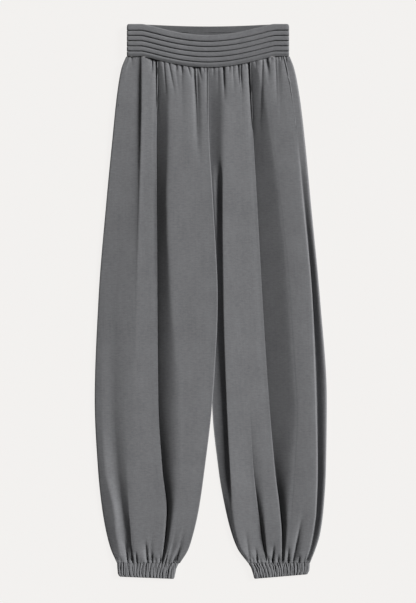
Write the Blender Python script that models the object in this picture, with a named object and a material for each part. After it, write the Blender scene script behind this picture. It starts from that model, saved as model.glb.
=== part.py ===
"""Gathered balloon trousers with a tucked waistband and elasticated cuffs, laid flat, face up.

The garment lies on the plane z = 0 with its waist towards +Y and its front facing up (+Z).
Left and right are the wearer's, so the right leg lies at -X. Each piece that a maker cuts is one
closed wall of cloth: band front and back, front and back of each leg, and two cuffs.

A piece is a row of cross-sections. A section runs across the garment and is a smooth curve
through a few control points, and every fold, gather or edge of the piece owns some of them.
Tables give where each long fold lies at each station down the leg, and how deep it is.
Lengths in the tables are millimetres; "drop" is the distance down from the waist's top corners.
"""

import math

import bmesh
import bpy
import numpy as np

# Driving dimensions, in millimetres
LENGTH = 1030.0            # waist corner to cuff hem
BAND_DEPTH = 59.7          # waistband, top edge to leg seam
BAND_LEFT_X = 145.2        # side fold of the band at the wearer's left
BAND_RIGHT_X = -155.4      # side fold of the band at the wearer's right
CUFF_DROP = 1000.6         # where the leg ends and the cuff begins
WALL = 1.2                 # leg cloth
BAND_WALL = 2.0            # waistband cloth, without its tucks
CUFF_WALL = 2.6            # cuff cloth with the elastic inside
SEAM_GAP = 0.3             # between two sewn pieces
FRONT_DIP = 20.6           # how far the front of the waist dips in its middle
BACK_DIP = 3.7             # how far the back of the waist dips
DIP_REACH = 0.83           # part of the half width that the dip takes up
DIP_POWER = 1.3
DIP_FADE = 95.0            # length down the leg over which the rows straighten out
EDGE_TUCK_UNDER = 1.2      # how far the cloth turns in under its side fold
SIDE_FOLD_REACH = 6.0      # how far in from the edge a side fold reaches the top, at most
SIDE_FOLD_POINTS = 5       # control points in a side fold
SIDE_FOLD_SHARE = 0.55     # or this part of the room up to the next fold
SIDE_FOLD_CURL = 0.3       # how far its rounded edge stands above the cloth beside it
GATHER_ROOM = 0.45         # part of the room beside it that a gather's shoulder may take
GATHER_WAVE = 1.6          # a gather's wavelength for each millimetre of its width
GATHER_CURVE = 44.0        # limit on its depth, so that the wall can follow its bends
GATHER_FLOOR = 3.4         # the lowest that a gather's bottom lies
BAND_LOFT = 10.5           # height of the band's front at its sides
BAND_CROWN = 1.5           # and how much higher it stands in its middle
CUFF_LOFT = 9.0            # height of a flat cuff
CROTCH_START = 345.0       # drop over which the centre seam parts into two inseams
CROTCH_END = 425.0
CREVICE_STEEP = (240.0, 330.0)  # drops over which its soft slope becomes a lip that hangs over it
CREVICE_SOFT = (835.0, 900.0)   # and over which the lip becomes a soft slope again
INNER_FALL = 1.0           # from the right leg's highest cloth to its inner edge
SIDE_FALL = 0.9            # from the left leg's highest cloth to the lip at its side
LATE_CLIMB = 1.7           # powers of the two ways to climb to the crisp crease
EARLY_CLIMB = 1.8
LATE_RISE_POWER = 1.6
SIDE_STEP = (-1.0, 13.0)   # where the cloth steps up, from the side valley
V_STEP = (-1.0, 10.0)      # and from the v fold
OUTER_RIDGE_SHARE = 0.58   # where the outer ridge lies between the outer edge and the side valley
RAMP_SHARES = (0.12, 0.30, 0.52, 0.76, 0.97)
CLOTH_COLOUR = (0.158, 0.160, 0.166, 1.0)
MILLIMETRE = 0.001

# Where each long fold lies (x, mm) at each station down the leg
STATIONS = (60, 82, 130, 215, 327, 512, 698, 828, 902, 948, 975, 1001)
RIGHT_LEG = {
    "outer edge":    (-157.1, -165.8, -174.0, -182.9, -193.7, -208.7, -215.6, -209.4, -201.5, -193.1, -185.7, -174.2),
    "side valley":   (-148.0, -153.6, -157.3, -161.0, -166.6, -175.0, -178.0, -171.0, -163.5, -157.2, -154.6, -150.1),
    "crisp crease":  (-128.5, -128.5, -128.6, -129.8, -132.6, -137.8, -141.6, -140.6, -138.7, -138.2, -137.0, -135.4),
    "long fold":     (-98.8, -99.2, -99.8, -100.7, -99.8, -98.8, -97.3, -89.6, -81.6, -84.9, -88.0, -92.3),
    "inner gather":  (-26.4, -25.9, -24.6, -22.3, -19.2, -14.8, -21.0, -33.5, -44.0, -53.0, -59.5, -67.8),
    "inner edge":    (-4.2, -4.2, -3.8, -3.2, 2.9, 11.6, 1.9, -12.9, -23.7, -34.2, -42.8, -58.6),
}
LEFT_LEG = {
    "inner edge":    (-3.9, -3.9, -3.5, -2.9, 3.2, 11.9, 2.7, 14.6, 27.6, 39.4, 50.2, 69.3),
    "crevice lip":   (25.5, 25.5, 24.6, 23.3, 21.4, 23.1, 29.2, 35.7, 41.3, 48.4, 58.0, 77.0),
    "v fold":        (54.3, 54.3, 56.1, 58.0, 60.8, 66.4, 71.9, 79.3, 88.3, 94.7, 98.8, 103.5),
    "long fold":     (73.4, 74.0, 75.6, 79.3, 85.8, 96.0, 108.1, 119.2, 128.5, 131.9, 132.0, 131.3),
    "side gather":   (123.9, 124.4, 126.7, 130.4, 141.5, 163.8, 173.1, 172.1, 169.4, 162.5, 158.2, 153.6),
    "side lip":      (136.0, 141.0, 149.5, 160.0, 171.0, 188.0, 195.0, 197.6, 195.3, 189.2, 183.4, 174.0),
    "outer edge":    (146.7, 154.9, 164.3, 174.6, 185.3, 203.1, 215.6, 213.9, 209.3, 202.8, 194.5, 184.3),
}
# Heights at the same stations (mm). The cloth rises towards +X in steps, and each long fold is a
# ramp with a width, a rise, and a shape above 1 where it is steep at first.
RIDGE_HEIGHT = (11.5, 14.0, 17.6, 21.6, 24.6, 26.0, 26.5, 24.5, 21.5, 17.5, 13.5, 10.3)
RIGHT_HEIGHTS = {
    "outer edge":    (9.5, 9.0, 8.0, 6.8, 5.8, 5.6, 6.0, 6.2, 6.0, 5.8, 6.4, 7.5),
    "outer ridge":   (0.0, 0.0, 0.0, 0.0, 0.0, 0.0, 0.2, 1.2, 2.8, 3.2, 2.2, 0.6),
    "crisp crease":  (10.5, 11.0, 11.6, 12.2, 12.4, 12.4, 12.6, 12.8, 13.2, 12.8, 11.4, 9.6),
    "early slope":   (0.5, 0.3, 0.0, 0.0, 0.1, 0.7, 0.9, 1.0, 1.0, 1.0, 1.0, 1.0),
    "side step":     (0.0, 0.0, 0.0, 0.0, 0.0, 0.3, 2.2, 5.0, 6.6, 6.2, 4.0, 1.2),
    "crease step":   (1.4, 3.2, 4.0, 2.6, 0.6, 0.0, 0.0, 0.0, 0.0, 0.0, 0.0, 0.0),
    "crease bead":   (0.2, 0.3, 0.4, 0.8, 0.6, 0.1, 0.0, 0.0, 0.0, 0.0, 0.0, 0.0),
}
RIGHT_FOLD = {
    "width": (9.0, 14.0, 21.0, 22.5, 18.5, 25.0, 37.0, 31.0, 15.0, 9.0, 8.0, 8.0),
    "rise": (2.4, 5.0, 8.0, 11.4, 13.0, 14.4, 14.2, 13.0, 12.0, 9.0, 6.2, 2.4),
    "shape": (1.0, 1.0, 1.0, 1.0, 1.0, 1.15, 1.7, 1.8, 1.2, 1.0, 1.0, 1.0),
}
LEFT_HEIGHTS = {
    "crevice floor": (8.4, 6.6, 4.8, 4.2, 4.2, 4.2, 4.3, 4.6, 5.2, 5.4, 5.4, 5.2),
    "crevice crest": (10.4, 11.0, 11.8, 12.8, 13.4, 13.6, 13.8, 12.8, 9.8, 8.8, 8.4, 8.2),
    "v step":        (0.0, 0.0, 0.0, 0.0, 0.0, 0.0, 0.6, 3.4, 6.2, 6.6, 4.6, 1.0),
    "side pocket":   (8.5, 8.2, 8.0, 7.5, 6.0, 3.4, 3.2, 3.2, 3.4, 4.2, 5.0, 5.0),
    "side ridge":    (9.0, 9.0, 9.2, 9.8, 10.8, 12.0, 12.5, 12.5, 11.8, 10.8, 9.5, 8.0),
}
LEFT_FOLD = {
    "width": (10.0, 15.0, 24.0, 33.0, 41.0, 48.0, 48.0, 30.0, 17.0, 8.5, 7.0, 6.5),
    "rise": (2.6, 5.0, 8.4, 11.6, 13.0, 14.8, 15.0, 12.6, 10.4, 7.8, 5.6, 2.4),
    "shape": (1.0, 1.0, 1.1, 1.2, 1.1, 1.1, 1.1, 1.1, 1.0, 1.0, 1.0, 1.0),
    "late rise": (0.2, 0.4, 0.8, 1.4, 1.8, 2.0, 2.0, 2.0, 1.4, 0.8, 0.4, 0.2),
}

# Gathers: which two long folds each lies between and how far across, its depth (mm) and reach
# (mm) under the band and above the cuff, and its half width (mm). A fold name repeated in both
# places is that fold itself.
GATHER_COLUMNS = ("after", "before", "across", "top", "top reach", "foot", "foot reach", "half width")
RIGHT_GATHERS = (
    ("outer edge", "side valley", 0.62, 0.0, 60, 2.2, 34, 3.2),
    ("side valley", "side valley", 0.0, 0.8, 60, 1.6, 160, 8.5),
    ("side valley", "crisp crease", 0.5, 0.0, 60, 2.2, 34, 3.0),
    ("crisp crease", "long fold", 0.36, 0.0, 60, 2.4, 40, 3.2),
    ("crisp crease", "long fold", 0.72, 1.6, 40, 2.4, 75, 3.6),
    ("long fold", "inner gather", 0.16, 2.6, 50, 2.4, 44, 3.4),
    ("long fold", "inner gather", 0.40, 2.4, 90, 2.4, 60, 3.8),
    ("long fold", "inner gather", 0.66, 2.2, 150, 0.0, 30, 4.6),
    ("long fold", "inner gather", 0.76, 2.4, 40, 2.0, 36, 3.0),
    ("inner gather", "inner gather", 0.0, 3.8, 210, 2.2, 80, 4.6),
)
LEFT_GATHERS = (
    ("crevice lip", "v fold", 0.48, 2.0, 60, 2.4, 46, 4.2),
    ("v fold", "v fold", 0.0, 2.6, 70, 2.4, 120, 5.0),
    ("v fold", "long fold", 0.52, 1.6, 36, 2.4, 36, 3.0),
    ("long fold", "side gather", 0.14, 2.4, 40, 0.0, 34, 3.2),
    ("long fold", "side gather", 0.52, 2.6, 60, 2.4, 34, 4.0),
    ("side gather", "side gather", 0.0, 2.6, 130, 3.2, 110, 4.6),
    ("side gather", "side lip", 0.55, 1.4, 40, 2.2, 34, 2.8),
)
# Rows of a leg panel, as drops at its side edge (mm)
LEG_ROWS = (60, 66, 75, 88, 106, 130, 165, 215, 275, 345, 425, 512, 605, 698, 768,
            828, 870, 905, 932, 952, 968, 982, 992, CUFF_DROP)
BACK_ROWS = LEG_ROWS[::2] + LEG_ROWS[-1:]
BACK_FLUTES = 7            # shallow gathers under the band on each back panel
BACK_FLUTE_RISE = 1.6
BACK_FLUTE_REACH = 90.0
BACK_FLUTE_FOOT = 45.0     # and above the cuff

# Waistband tucks: drop of each groove below the band's top edge (mm)
TUCK_DROPS = (0.0, 11.7, 21.3, 30.9, 40.5, 50.1, BAND_DEPTH)
TUCK_RELIEF = 1.2          # how far a rib stands above the grooves beside it
BACK_TUCK_RELIEF = 0.8     # and on the back, where the ribs are pressed flat by the ground
BAND_ACROSS = 11           # columns between the band's two side folds

# Cuffs: drop, outer edge and inner edge (mm) of each row
CUFF_COLUMNS = ("drop", "outer", "inner")
RIGHT_CUFF = ((1000.9, -174.2, -58.8), (1010.0, -171.9, -64.2), (1019.0, -170.3, -66.8), (1026.0, -165.2, -68.4))
LEFT_CUFF = ((1000.9, 184.2, 69.4), (1010.0, 183.4, 75.0), (1020.0, 181.2, 78.6), (1030.0, 176.8, 81.0))
CUFF_GATHERS = 16          # ripples across the front of a cuff
CUFF_RIPPLE = 1.3          # depth of a ripple
CUFF_UNDER_GATHERS = 8
CUFF_UNDER_RIPPLE = 0.9
LEFT_CUFF_TILT = 0.085     # how far the left hem rises for each millimetre towards +X
RIGHT_CUFF_TILT = -0.041   # and the right one, which falls


def along_stations(values, drop):
    """A value given at the stations, read at any drop by a monotone cubic."""
    x = np.array(STATIONS, float)
    y = np.array(values, float)
    step = np.diff(x)
    slope = np.diff(y) / step
    tangent = np.zeros(len(x))
    for i in range(1, len(x) - 1):
        if slope[i - 1] * slope[i] > 0:
            before = 2 * step[i] + step[i - 1]
            after = step[i] + 2 * step[i - 1]
            tangent[i] = (before + after) / (before / slope[i - 1] + after / slope[i])
    tangent[0] = slope[0]
    tangent[-1] = slope[-1]
    at = min(max(drop, x[0]), x[-1])
    i = min(int(np.searchsorted(x, at, side="right")) - 1, len(step) - 1)
    t = (at - x[i]) / step[i]
    start = (1 + 2 * t) * (1 - t) ** 2 * y[i] + t * (1 - t) ** 2 * step[i] * tangent[i]
    end = t * t * (3 - 2 * t) * y[i + 1] - t * t * (1 - t) * step[i] * tangent[i + 1]
    return float(start + end)


def ease(low, high, value):
    """0 below low, 1 above high, and smooth between them."""
    t = min(max((value - low) / (high - low), 0.0), 1.0)
    return t * t * (3 - 2 * t)


def mix(a, b, share):
    """The point or number that lies the given share of the way from a to b."""
    return a + (b - a) * share


def dip_at(x, depth):
    """The smooth dip of the waist line at x, for a dip of the given depth in its middle."""
    middle = (BAND_LEFT_X + BAND_RIGHT_X) / 2
    half = (BAND_LEFT_X - BAND_RIGHT_X) / 2
    share = abs(x - middle) / (half * DIP_REACH)
    return depth * max(0.0, 1 - share * share) ** DIP_POWER


def waist_dip(x, depth):
    """The dip as the band's columns carry it, so that the legs meet the band all along."""
    xs = band_columns()
    return float(np.interp(x, xs, [dip_at(column, depth) for column in xs]))


def leg_drop(x, nominal, depth):
    """The real drop of a point on a leg row: rows follow the dipped band seam, then straighten."""
    fade = 1 - ease(STATIONS[0], STATIONS[0] + DIP_FADE, nominal)
    return nominal + waist_dip(x, depth) * fade


def smoothed(points):
    """The smooth curve of a control polygon, read once for each control point."""
    p = np.array(points, float)
    inner = (p[:-2] + 4 * p[1:-1] + p[2:]) / 6
    return np.vstack([p[:1], inner, p[-1:]])


def inward(points, wall):
    """The points moved by the wall's thickness to the right of the way the section runs."""
    p = np.array(points, float)
    way = np.empty_like(p)
    way[1:-1] = p[2:] - p[:-2]
    way[0] = p[1] - p[0]
    way[-1] = p[-1] - p[-2]
    way /= np.linalg.norm(way, axis=1)[:, None]
    return p + wall * np.stack([way[:, 1], -way[:, 0]], axis=1)


def side_fold(edge, way, top, room):
    """Control points of a tight side fold, from the seam at its foot up to the top of the cloth.

    way is +1 where the cloth lies towards +X of the edge and -1 where it lies towards -X, and
    room is the distance to the next fold.
    """
    foot = WALL + SEAM_GAP
    reach = min(SIDE_FOLD_REACH, SIDE_FOLD_SHARE * room)
    foot_x = edge + way * EDGE_TUCK_UNDER
    third_x = edge + way * 0.4
    widest_x = (6 * edge - foot_x - third_x) / 4
    return [
        (foot_x, foot),
        (widest_x, mix(foot, top, 0.34)),
        (third_x, mix(foot, top, 0.76)),
        (edge + way * 0.32 * reach, top + SIDE_FOLD_CURL),
        (edge + way * reach, top),
    ]


def room_beside(x, stops):
    """The distances from x to the nearest stops before and after it."""
    before = max(stop for stop in stops if stop < x)
    after = min(stop for stop in stops if stop > x)
    return x - before, after - x


def gather_points(x, half_width, rooms, depth, level_at):
    """Control points of a gather: down quickly, and up again by a longer slope."""
    before = min(0.8 * half_width, GATHER_ROOM * rooms[0])
    after = min(1.3 * half_width, GATHER_ROOM * rooms[1])
    wave = GATHER_WAVE * (before + after)
    deep = min(depth, wave * wave / (GATHER_CURVE * WALL), level_at(x) - GATHER_FLOOR)
    sides = ((-before, -0.15), (-0.25 * before, 0.95), (0.25 * after, 1.10), (after, -0.15))
    return [(x + step, level_at(x + step) - share * deep) for step, share in sides]


def ramp_points(x, width, rooms, level, rise, shape):
    """Control points of a long fold: the cloth's low side, and the ramp that it climbs."""
    lead = min(9.0, 0.4 * rooms[0])
    points = [(x - lead, level + 0.1), (x - 0.35 * lead, level), (x + 0.01 * width, level - 0.2)]
    for share in RAMP_SHARES:
        points.append((x + share * width, level + rise * (1 - (1 - share) ** shape)))
    points.append((x + width + min(5.0, GATHER_ROOM * (rooms[1] - width)), level + rise))
    return points


def crease_points(x, rooms, level_at, level, bead):
    """Control points of the crisp crease, which the cloth climbs to more and more steeply."""
    lead = min(12.0, 0.5 * rooms[0])
    low = [level_at(x - share * lead) for share in (1.0, 0.5, 0.2)]
    return [
        (x - lead, low[0]),
        (x - 0.5 * lead, mix(low[1], level, 0.12)),
        (x - 0.2 * lead, mix(low[2], level, 0.50)),
        (x - 0.5, level + 0.6 * bead),
        (x + 0.9, level + bead),
        (x + 4.5, level),
    ]


def crevice_points(edge, lip, floor, crest, steep, parted):
    """Control points of the crevice beside the centre seam, and of the slope or lip beyond it.

    steep is 0 where the far side is a soft slope and 1 where it is a lip, and parted is 0 where
    the legs are joined and 1 below the crotch, where the floor turns down into the inseam.
    """
    foot = WALL + SEAM_GAP
    gap = lip - edge
    third_x = edge + min(0.15 * gap, 2.4)
    widest = (6 * edge - (edge + EDGE_TUCK_UNDER) - third_x) / 4
    joined = [
        (edge, floor),
        (edge + 0.10 * gap, mix(floor, crest, 0.06)),
        (edge + 0.24 * gap, mix(floor, crest, 0.20)),
    ]
    turned = [(edge + EDGE_TUCK_UNDER, foot), (widest, mix(foot, floor, 0.5)), (third_x, floor)]
    start = [(mix(a[0], b[0], parted), mix(a[1], b[1], parted)) for a, b in zip(joined, turned)]
    slope = [
        (edge + 0.40 * gap, mix(floor, crest, 0.38)),
        (edge + 0.56 * gap, mix(floor, crest, 0.57)),
        (edge + 0.72 * gap, mix(floor, crest, 0.77)),
        (edge + 0.86 * gap, mix(floor, crest, 0.95)),
        (lip + 0.2, crest + 0.1),
        (lip + 3.6, crest + 0.2),
    ]
    overhang = [
        (edge + 0.55 * gap, floor),
        (lip + 0.5, mix(floor, crest, 0.04)),
        (lip + 1.0, mix(floor, crest, 0.40)),
        (lip - 0.6, mix(floor, crest, 0.78)),
        (lip + 0.4, crest + 0.2),
        (lip + 3.6, crest + 0.2),
    ]
    return start + [(mix(a[0], b[0], steep), mix(a[1], b[1], steep)) for a, b in zip(slope, overhang)]


def side_lip_points(lip, outer, room_before, level, pocket, ridge):
    """The lip at the leg's side, the pocket beside it, and the ramp up to the outer side fold."""
    foot = WALL + SEAM_GAP
    strip = outer - lip
    third_x = outer - 0.06 * strip
    widest = (6 * outer - (outer - EDGE_TUCK_UNDER) - third_x) / 4
    return [
        (lip - min(7.0, 0.35 * room_before), level + 0.2),
        (lip - 2.4, level),
        (lip - 0.1, level - 0.6),
        (lip + 0.6, mix(level, pocket, 0.40)),
        (lip + 0.2, mix(level, pocket, 0.90)),
        (lip + 0.18 * strip, pocket),
        (lip + 0.38 * strip, mix(pocket, ridge, 0.45)),
        (lip + 0.60 * strip, mix(pocket, ridge, 0.84)),
        (lip + 0.80 * strip, ridge),
        (third_x, mix(foot, ridge, 0.82)),
        (widest, mix(foot, ridge, 0.40)),
        (outer - EDGE_TUCK_UNDER, foot),
    ]


def gather_depth(gather, drop):
    """How deep a gather is at a drop: deepest at the seam that gathers it, fading away from it."""
    row = dict(zip(GATHER_COLUMNS, gather))
    from_top = (drop - STATIONS[0]) / row["top reach"]
    from_foot = (STATIONS[-1] - drop) / row["foot reach"]
    top = row["top"] * max(0.0, 1 - from_top) ** 1.4
    foot = row["foot"] * max(0.0, 1 - from_foot) ** 1.4
    return max(top, foot)


def gather_places(gathers, folds, crest_x, drop):
    """Each gather's x, depth and half width on a row. crest_x is the long fold's far side."""
    spread = 1 + 0.5 * ease(80, 500, drop) - 0.35 * ease(900, STATIONS[-1], drop)
    places = []
    for gather in gathers:
        row = dict(zip(GATHER_COLUMNS, gather))
        start = crest_x if row["after"] == "long fold" else folds[row["after"]]
        x = mix(start, folds[row["before"]], row["across"])
        places.append((x, gather_depth(gather, drop), row["half width"] * spread))
    return places


def with_gathers(places, stops, level_at, features):
    """Control points of the gathers and of the folds between them, in order across the leg."""
    groups = list(features)
    for x, depth, half in places:
        groups.append((x, gather_points(x, half, room_beside(x, stops), depth, level_at)))
    groups.sort(key=lambda group: group[0])
    return [point for _, points in groups for point in points]


def right_front_section(drop):
    """Section of the right leg's front, from its outer edge to its inner edge."""
    folds = {name: along_stations(row, drop) for name, row in RIGHT_LEG.items()}
    heights = {name: along_stations(row, drop) for name, row in RIGHT_HEIGHTS.items()}
    fold = {name: along_stations(row, drop) for name, row in RIGHT_FOLD.items()}
    top = along_stations(RIDGE_HEIGHT, drop)
    inner_top = top - INNER_FALL
    outer = folds["outer edge"]
    valley = folds["side valley"]
    crease_x = folds["crisp crease"]
    fold_x = folds["long fold"]
    inner = folds["inner edge"]
    crest_x = fold_x + fold["width"]
    ridge_x = mix(outer, valley, OUTER_RIDGE_SHARE)
    toe = top - fold["rise"]
    places = gather_places(RIGHT_GATHERS, folds, crest_x, drop)

    def level_at(x):
        if x < crease_x:
            share = max((x - outer) / (crease_x - outer), 0.0)
            early = 1 - (1 - share) ** EARLY_CLIMB
            climbed = mix(share ** LATE_CLIMB, early, heights["early slope"])
            stepped = heights["side step"] * (1 - ease(*SIDE_STEP, x - valley)) * ease(0.0, 0.2, share)
            bump = heights["outer ridge"] * ease(outer, ridge_x, x) * (1 - ease(ridge_x, valley, x))
            reached = heights["crisp crease"] - heights["crease step"]
            return mix(heights["outer edge"], reached, climbed) - stepped + bump
        if x < fold_x:
            return mix(heights["crisp crease"], toe, (x - crease_x) / (fold_x - crease_x))
        return mix(top, inner_top, (x - crest_x) / (inner - crest_x))

    outer_side = side_fold(outer, 1, heights["outer edge"], valley - outer)
    inner_side = side_fold(inner, -1, inner_top, inner - places[-1][0])
    start = outer_side[-1][0]
    stops = [start, crease_x, fold_x, crest_x, inner_side[-1][0]] + [place[0] for place in places]
    crease = crease_points(crease_x, room_beside(crease_x, stops), level_at,
                           heights["crisp crease"], heights["crease bead"])
    before = room_beside(fold_x, stops)[0]
    after = fold["width"] + room_beside(crest_x, stops)[1]
    ramp = ramp_points(fold_x, fold["width"], (before, after), toe, fold["rise"], fold["shape"])
    features = [(crease_x, crease), (fold_x, ramp)]
    return outer_side + with_gathers(places, stops, level_at, features) + inner_side[::-1]


def left_front_section(drop):
    """Section of the left leg's front, from its inner edge to its outer edge."""
    folds = {name: along_stations(row, drop) for name, row in LEFT_LEG.items()}
    heights = {name: along_stations(row, drop) for name, row in LEFT_HEIGHTS.items()}
    fold = {name: along_stations(row, drop) for name, row in LEFT_FOLD.items()}
    edge = max(folds["inner edge"], along_stations(RIGHT_LEG["inner edge"], drop) + SEAM_GAP)
    top = along_stations(RIDGE_HEIGHT, drop)
    lip = folds["crevice lip"]
    v_fold = folds["v fold"]
    fold_x = folds["long fold"]
    side_lip = folds["side lip"]
    crest_x = fold_x + fold["width"]
    toe = top - fold["rise"] - fold["late rise"]
    crest = heights["crevice crest"]
    places = gather_places(LEFT_GATHERS, folds, crest_x, drop)

    def level_at(x):
        if x < fold_x:
            stepped = ease(*V_STEP, x - v_fold) * heights["v step"]
            return mix(crest, toe - heights["v step"], (x - lip) / (fold_x - lip)) + stepped
        share = (x - crest_x) / (side_lip - crest_x)
        return top - fold["late rise"] * (1 - share) ** LATE_RISE_POWER - SIDE_FALL * share ** 3

    parted = ease(CROTCH_START, CROTCH_END, drop)
    steep = ease(*CREVICE_STEEP, drop) * (1 - ease(*CREVICE_SOFT, drop))
    crevice = crevice_points(edge, lip, heights["crevice floor"], crest, steep, parted)
    stops = [crevice[-1][0], fold_x, crest_x, side_lip] + [place[0] for place in places]
    before = room_beside(fold_x, stops)[0]
    after = fold["width"] + room_beside(crest_x, stops)[1]
    ramp = ramp_points(fold_x, fold["width"], (before, after), toe, fold["rise"], fold["shape"])
    section = crevice + with_gathers(places, stops, level_at, [(fold_x, ramp)])
    return section + side_lip_points(side_lip, folds["outer edge"], side_lip - places[-1][0],
                                     top - SIDE_FALL, heights["side pocket"], heights["side ridge"])


def cloth_wall(name, outside, inside, ring=False):
    """A closed wall between two grids of points (rows, columns, xyz in millimetres)."""
    rows, columns = outside.shape[:2]
    bm = bmesh.new()
    other_face = bm.verts.layers.float_vector.new("other face")
    bmesh.ops.create_grid(bm, x_segments=columns - 1, y_segments=rows - 1, size=1.0)
    bm.verts.ensure_lookup_table()
    for vert, outer, inner in zip(bm.verts, outside.reshape(-1, 3), inside.reshape(-1, 3)):
        vert.co = outer * MILLIMETRE
        vert[other_face] = inner * MILLIMETRE
    if ring:
        bmesh.ops.remove_doubles(bm, verts=bm.verts, dist=0.00001)
    grown = bmesh.ops.extrude_face_region(bm, geom=bm.faces[:], use_keep_orig=True)
    for vert in grown["geom"]:
        if isinstance(vert, bmesh.types.BMVert):
            vert.co = vert[other_face]
    bmesh.ops.recalc_face_normals(bm, faces=bm.faces)
    mesh = bpy.data.meshes.new(name)
    bm.to_mesh(mesh)
    bm.free()
    mesh.shade_smooth()
    mesh.set_sharp_from_angle(angle=math.radians(50))
    piece = bpy.data.objects.new(name, mesh)
    bpy.context.collection.objects.link(piece)
    piece.data.materials.append(cloth_material(name))
    return piece


def cloth_material(name):
    """Heathered mid-grey jersey, matt, one material for each piece."""
    material = bpy.data.materials.new(name + " cloth")
    material.use_nodes = True
    shader = material.node_tree.nodes["Principled BSDF"]
    shader.inputs["Base Color"].default_value = CLOTH_COLOUR
    shader.inputs["Roughness"].default_value = 0.9
    shader.inputs["Metallic"].default_value = 0.0
    return material


def placed(section, drop, depth):
    """A section's (x, z) points as (x, y, z), on a row that follows the dipped seam."""
    return [(x, LENGTH / 2 - leg_drop(x, drop, depth), z) for x, z in section]


def leg_front(name, section_of, way):
    """A front panel. way is the side of the section that its inside lies on."""
    outside = []
    inside = []
    for nominal in LEG_ROWS:
        drop = nominal + (SEAM_GAP if nominal == LEG_ROWS[0] else 0.0)
        outer = smoothed(section_of(nominal))
        outside.append(placed(outer, drop, FRONT_DIP))
        inner = inward(outer, way * WALL)
        outer_rows = np.array(outside[-1])
        inside.append([(x, outer_rows[i][1], z) for i, (x, z) in enumerate(inner)])
    return cloth_wall(name, np.array(outside), np.array(inside))


def back_edges(drop):
    """Where the back panels start and end on a row: right outer, right inner, left inner, left outer."""
    right_outer = along_stations(RIGHT_LEG["outer edge"], drop) + EDGE_TUCK_UNDER
    right_inner = along_stations(RIGHT_LEG["inner edge"], drop) - EDGE_TUCK_UNDER
    left_outer = along_stations(LEFT_LEG["outer edge"], drop) - EDGE_TUCK_UNDER
    neighbour = along_stations(RIGHT_LEG["inner edge"], drop) + SEAM_GAP
    own_edge = max(along_stations(LEFT_LEG["inner edge"], drop), neighbour)
    parted = ease(CROTCH_START, CROTCH_END, drop)
    left_inner = mix(right_inner + SEAM_GAP, own_edge + EDGE_TUCK_UNDER, parted)
    return right_outer, right_inner, left_inner, left_outer


def leg_back(name, first, last):
    """A back panel: flat on the ground, with shallow flutes where it is gathered into the band."""
    columns = 2 * BACK_FLUTES + 1
    outside = []
    inside = []
    for nominal in BACK_ROWS:
        drop = nominal + (SEAM_GAP if nominal == BACK_ROWS[0] else 0.0)
        edges = back_edges(nominal)
        from_band = 1 - (nominal - BACK_ROWS[0]) / BACK_FLUTE_REACH
        from_cuff = 1 - (BACK_ROWS[-1] - nominal) / BACK_FLUTE_FOOT
        fade = max(0.0, from_band, from_cuff)
        under = []
        above = []
        for i in range(columns):
            x = mix(edges[first], edges[last], i / (columns - 1))
            rise = BACK_FLUTE_RISE * fade if i % 2 else 0.0
            y = LENGTH / 2 - leg_drop(x, drop, BACK_DIP)
            under.append((x, y, rise))
            above.append((x, y, rise + WALL))
        outside.append(above)
        inside.append(under)
    return cloth_wall(name, np.array(outside), np.array(inside))


def tuck_profile():
    """Drop and relief of the band's rows: a groove, then the rib's rise and its lower fold."""
    rows = [(TUCK_DROPS[0], 0.3)]
    for upper, lower in zip(TUCK_DROPS[:-1], TUCK_DROPS[1:]):
        rows.append((mix(upper, lower, 0.20), 0.85))
        rows.append((mix(upper, lower, 0.86), 1.0))
        rows.append((lower, 0.0))
    return rows


def band_section():
    """The band's plain section, from its right side fold over the arch to its left side fold."""
    width = BAND_LEFT_X - BAND_RIGHT_X
    right_side = side_fold(BAND_RIGHT_X, 1, BAND_LOFT, width)
    left_side = side_fold(BAND_LEFT_X, -1, BAND_LOFT, width)
    start = right_side[-1][0]
    end = left_side[-1][0]
    across = []
    for i in range(1, BAND_ACROSS + 1):
        share = i / (BAND_ACROSS + 1)
        across.append((mix(start, end, share), BAND_LOFT + BAND_CROWN * math.sin(math.pi * share)))
    return smoothed(right_side + across + left_side[::-1])


def band_columns():
    """The x of each column of the band, with its two side folds at the ends."""
    middle = [x for x, _ in band_section()[SIDE_FOLD_POINTS - 1:1 - SIDE_FOLD_POINTS]]
    return [BAND_RIGHT_X + EDGE_TUCK_UNDER] + middle + [BAND_LEFT_X - EDGE_TUCK_UNDER]


def band_front():
    """The tucked front of the waistband, arched over the back and folded down at both sides."""
    plain = band_section()
    outside = []
    inside = []
    for drop, relief in tuck_profile():
        ribbed = inward(plain, -relief * TUCK_RELIEF)
        ribbed[0][1] = plain[0][1]
        ribbed[-1][1] = plain[-1][1]
        ribbed[:, 0] = np.clip(ribbed[:, 0], BAND_RIGHT_X, BAND_LEFT_X)
        ys = [LENGTH / 2 - drop - waist_dip(x, FRONT_DIP) for x, _ in plain]
        outside.append([(x, y, z) for (x, z), y in zip(ribbed, ys)])
        inside.append([(x, y, z) for (x, z), y in zip(inward(plain, BAND_WALL), ys)])
    return cloth_wall("band_front", np.array(outside), np.array(inside))


def band_back():
    """The tucked back of the waistband: its ribs rest on the ground and its inside is plain."""
    xs = band_columns()
    above = []
    under = []
    for drop, relief in tuck_profile():
        lift = BACK_TUCK_RELIEF * (1 - relief) if 0.0 < drop < BAND_DEPTH else 0.0
        ys = [LENGTH / 2 - drop - waist_dip(x, BACK_DIP) for x in xs]
        lifts = [0.0] + [lift] * (len(xs) - 2) + [0.0]
        above.append([(x, y, WALL) for x, y in zip(xs, ys)])
        under.append([(x, y, z) for x, y, z in zip(xs, ys, lifts)])
    return cloth_wall("band_back", np.array(above), np.array(under))


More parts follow.
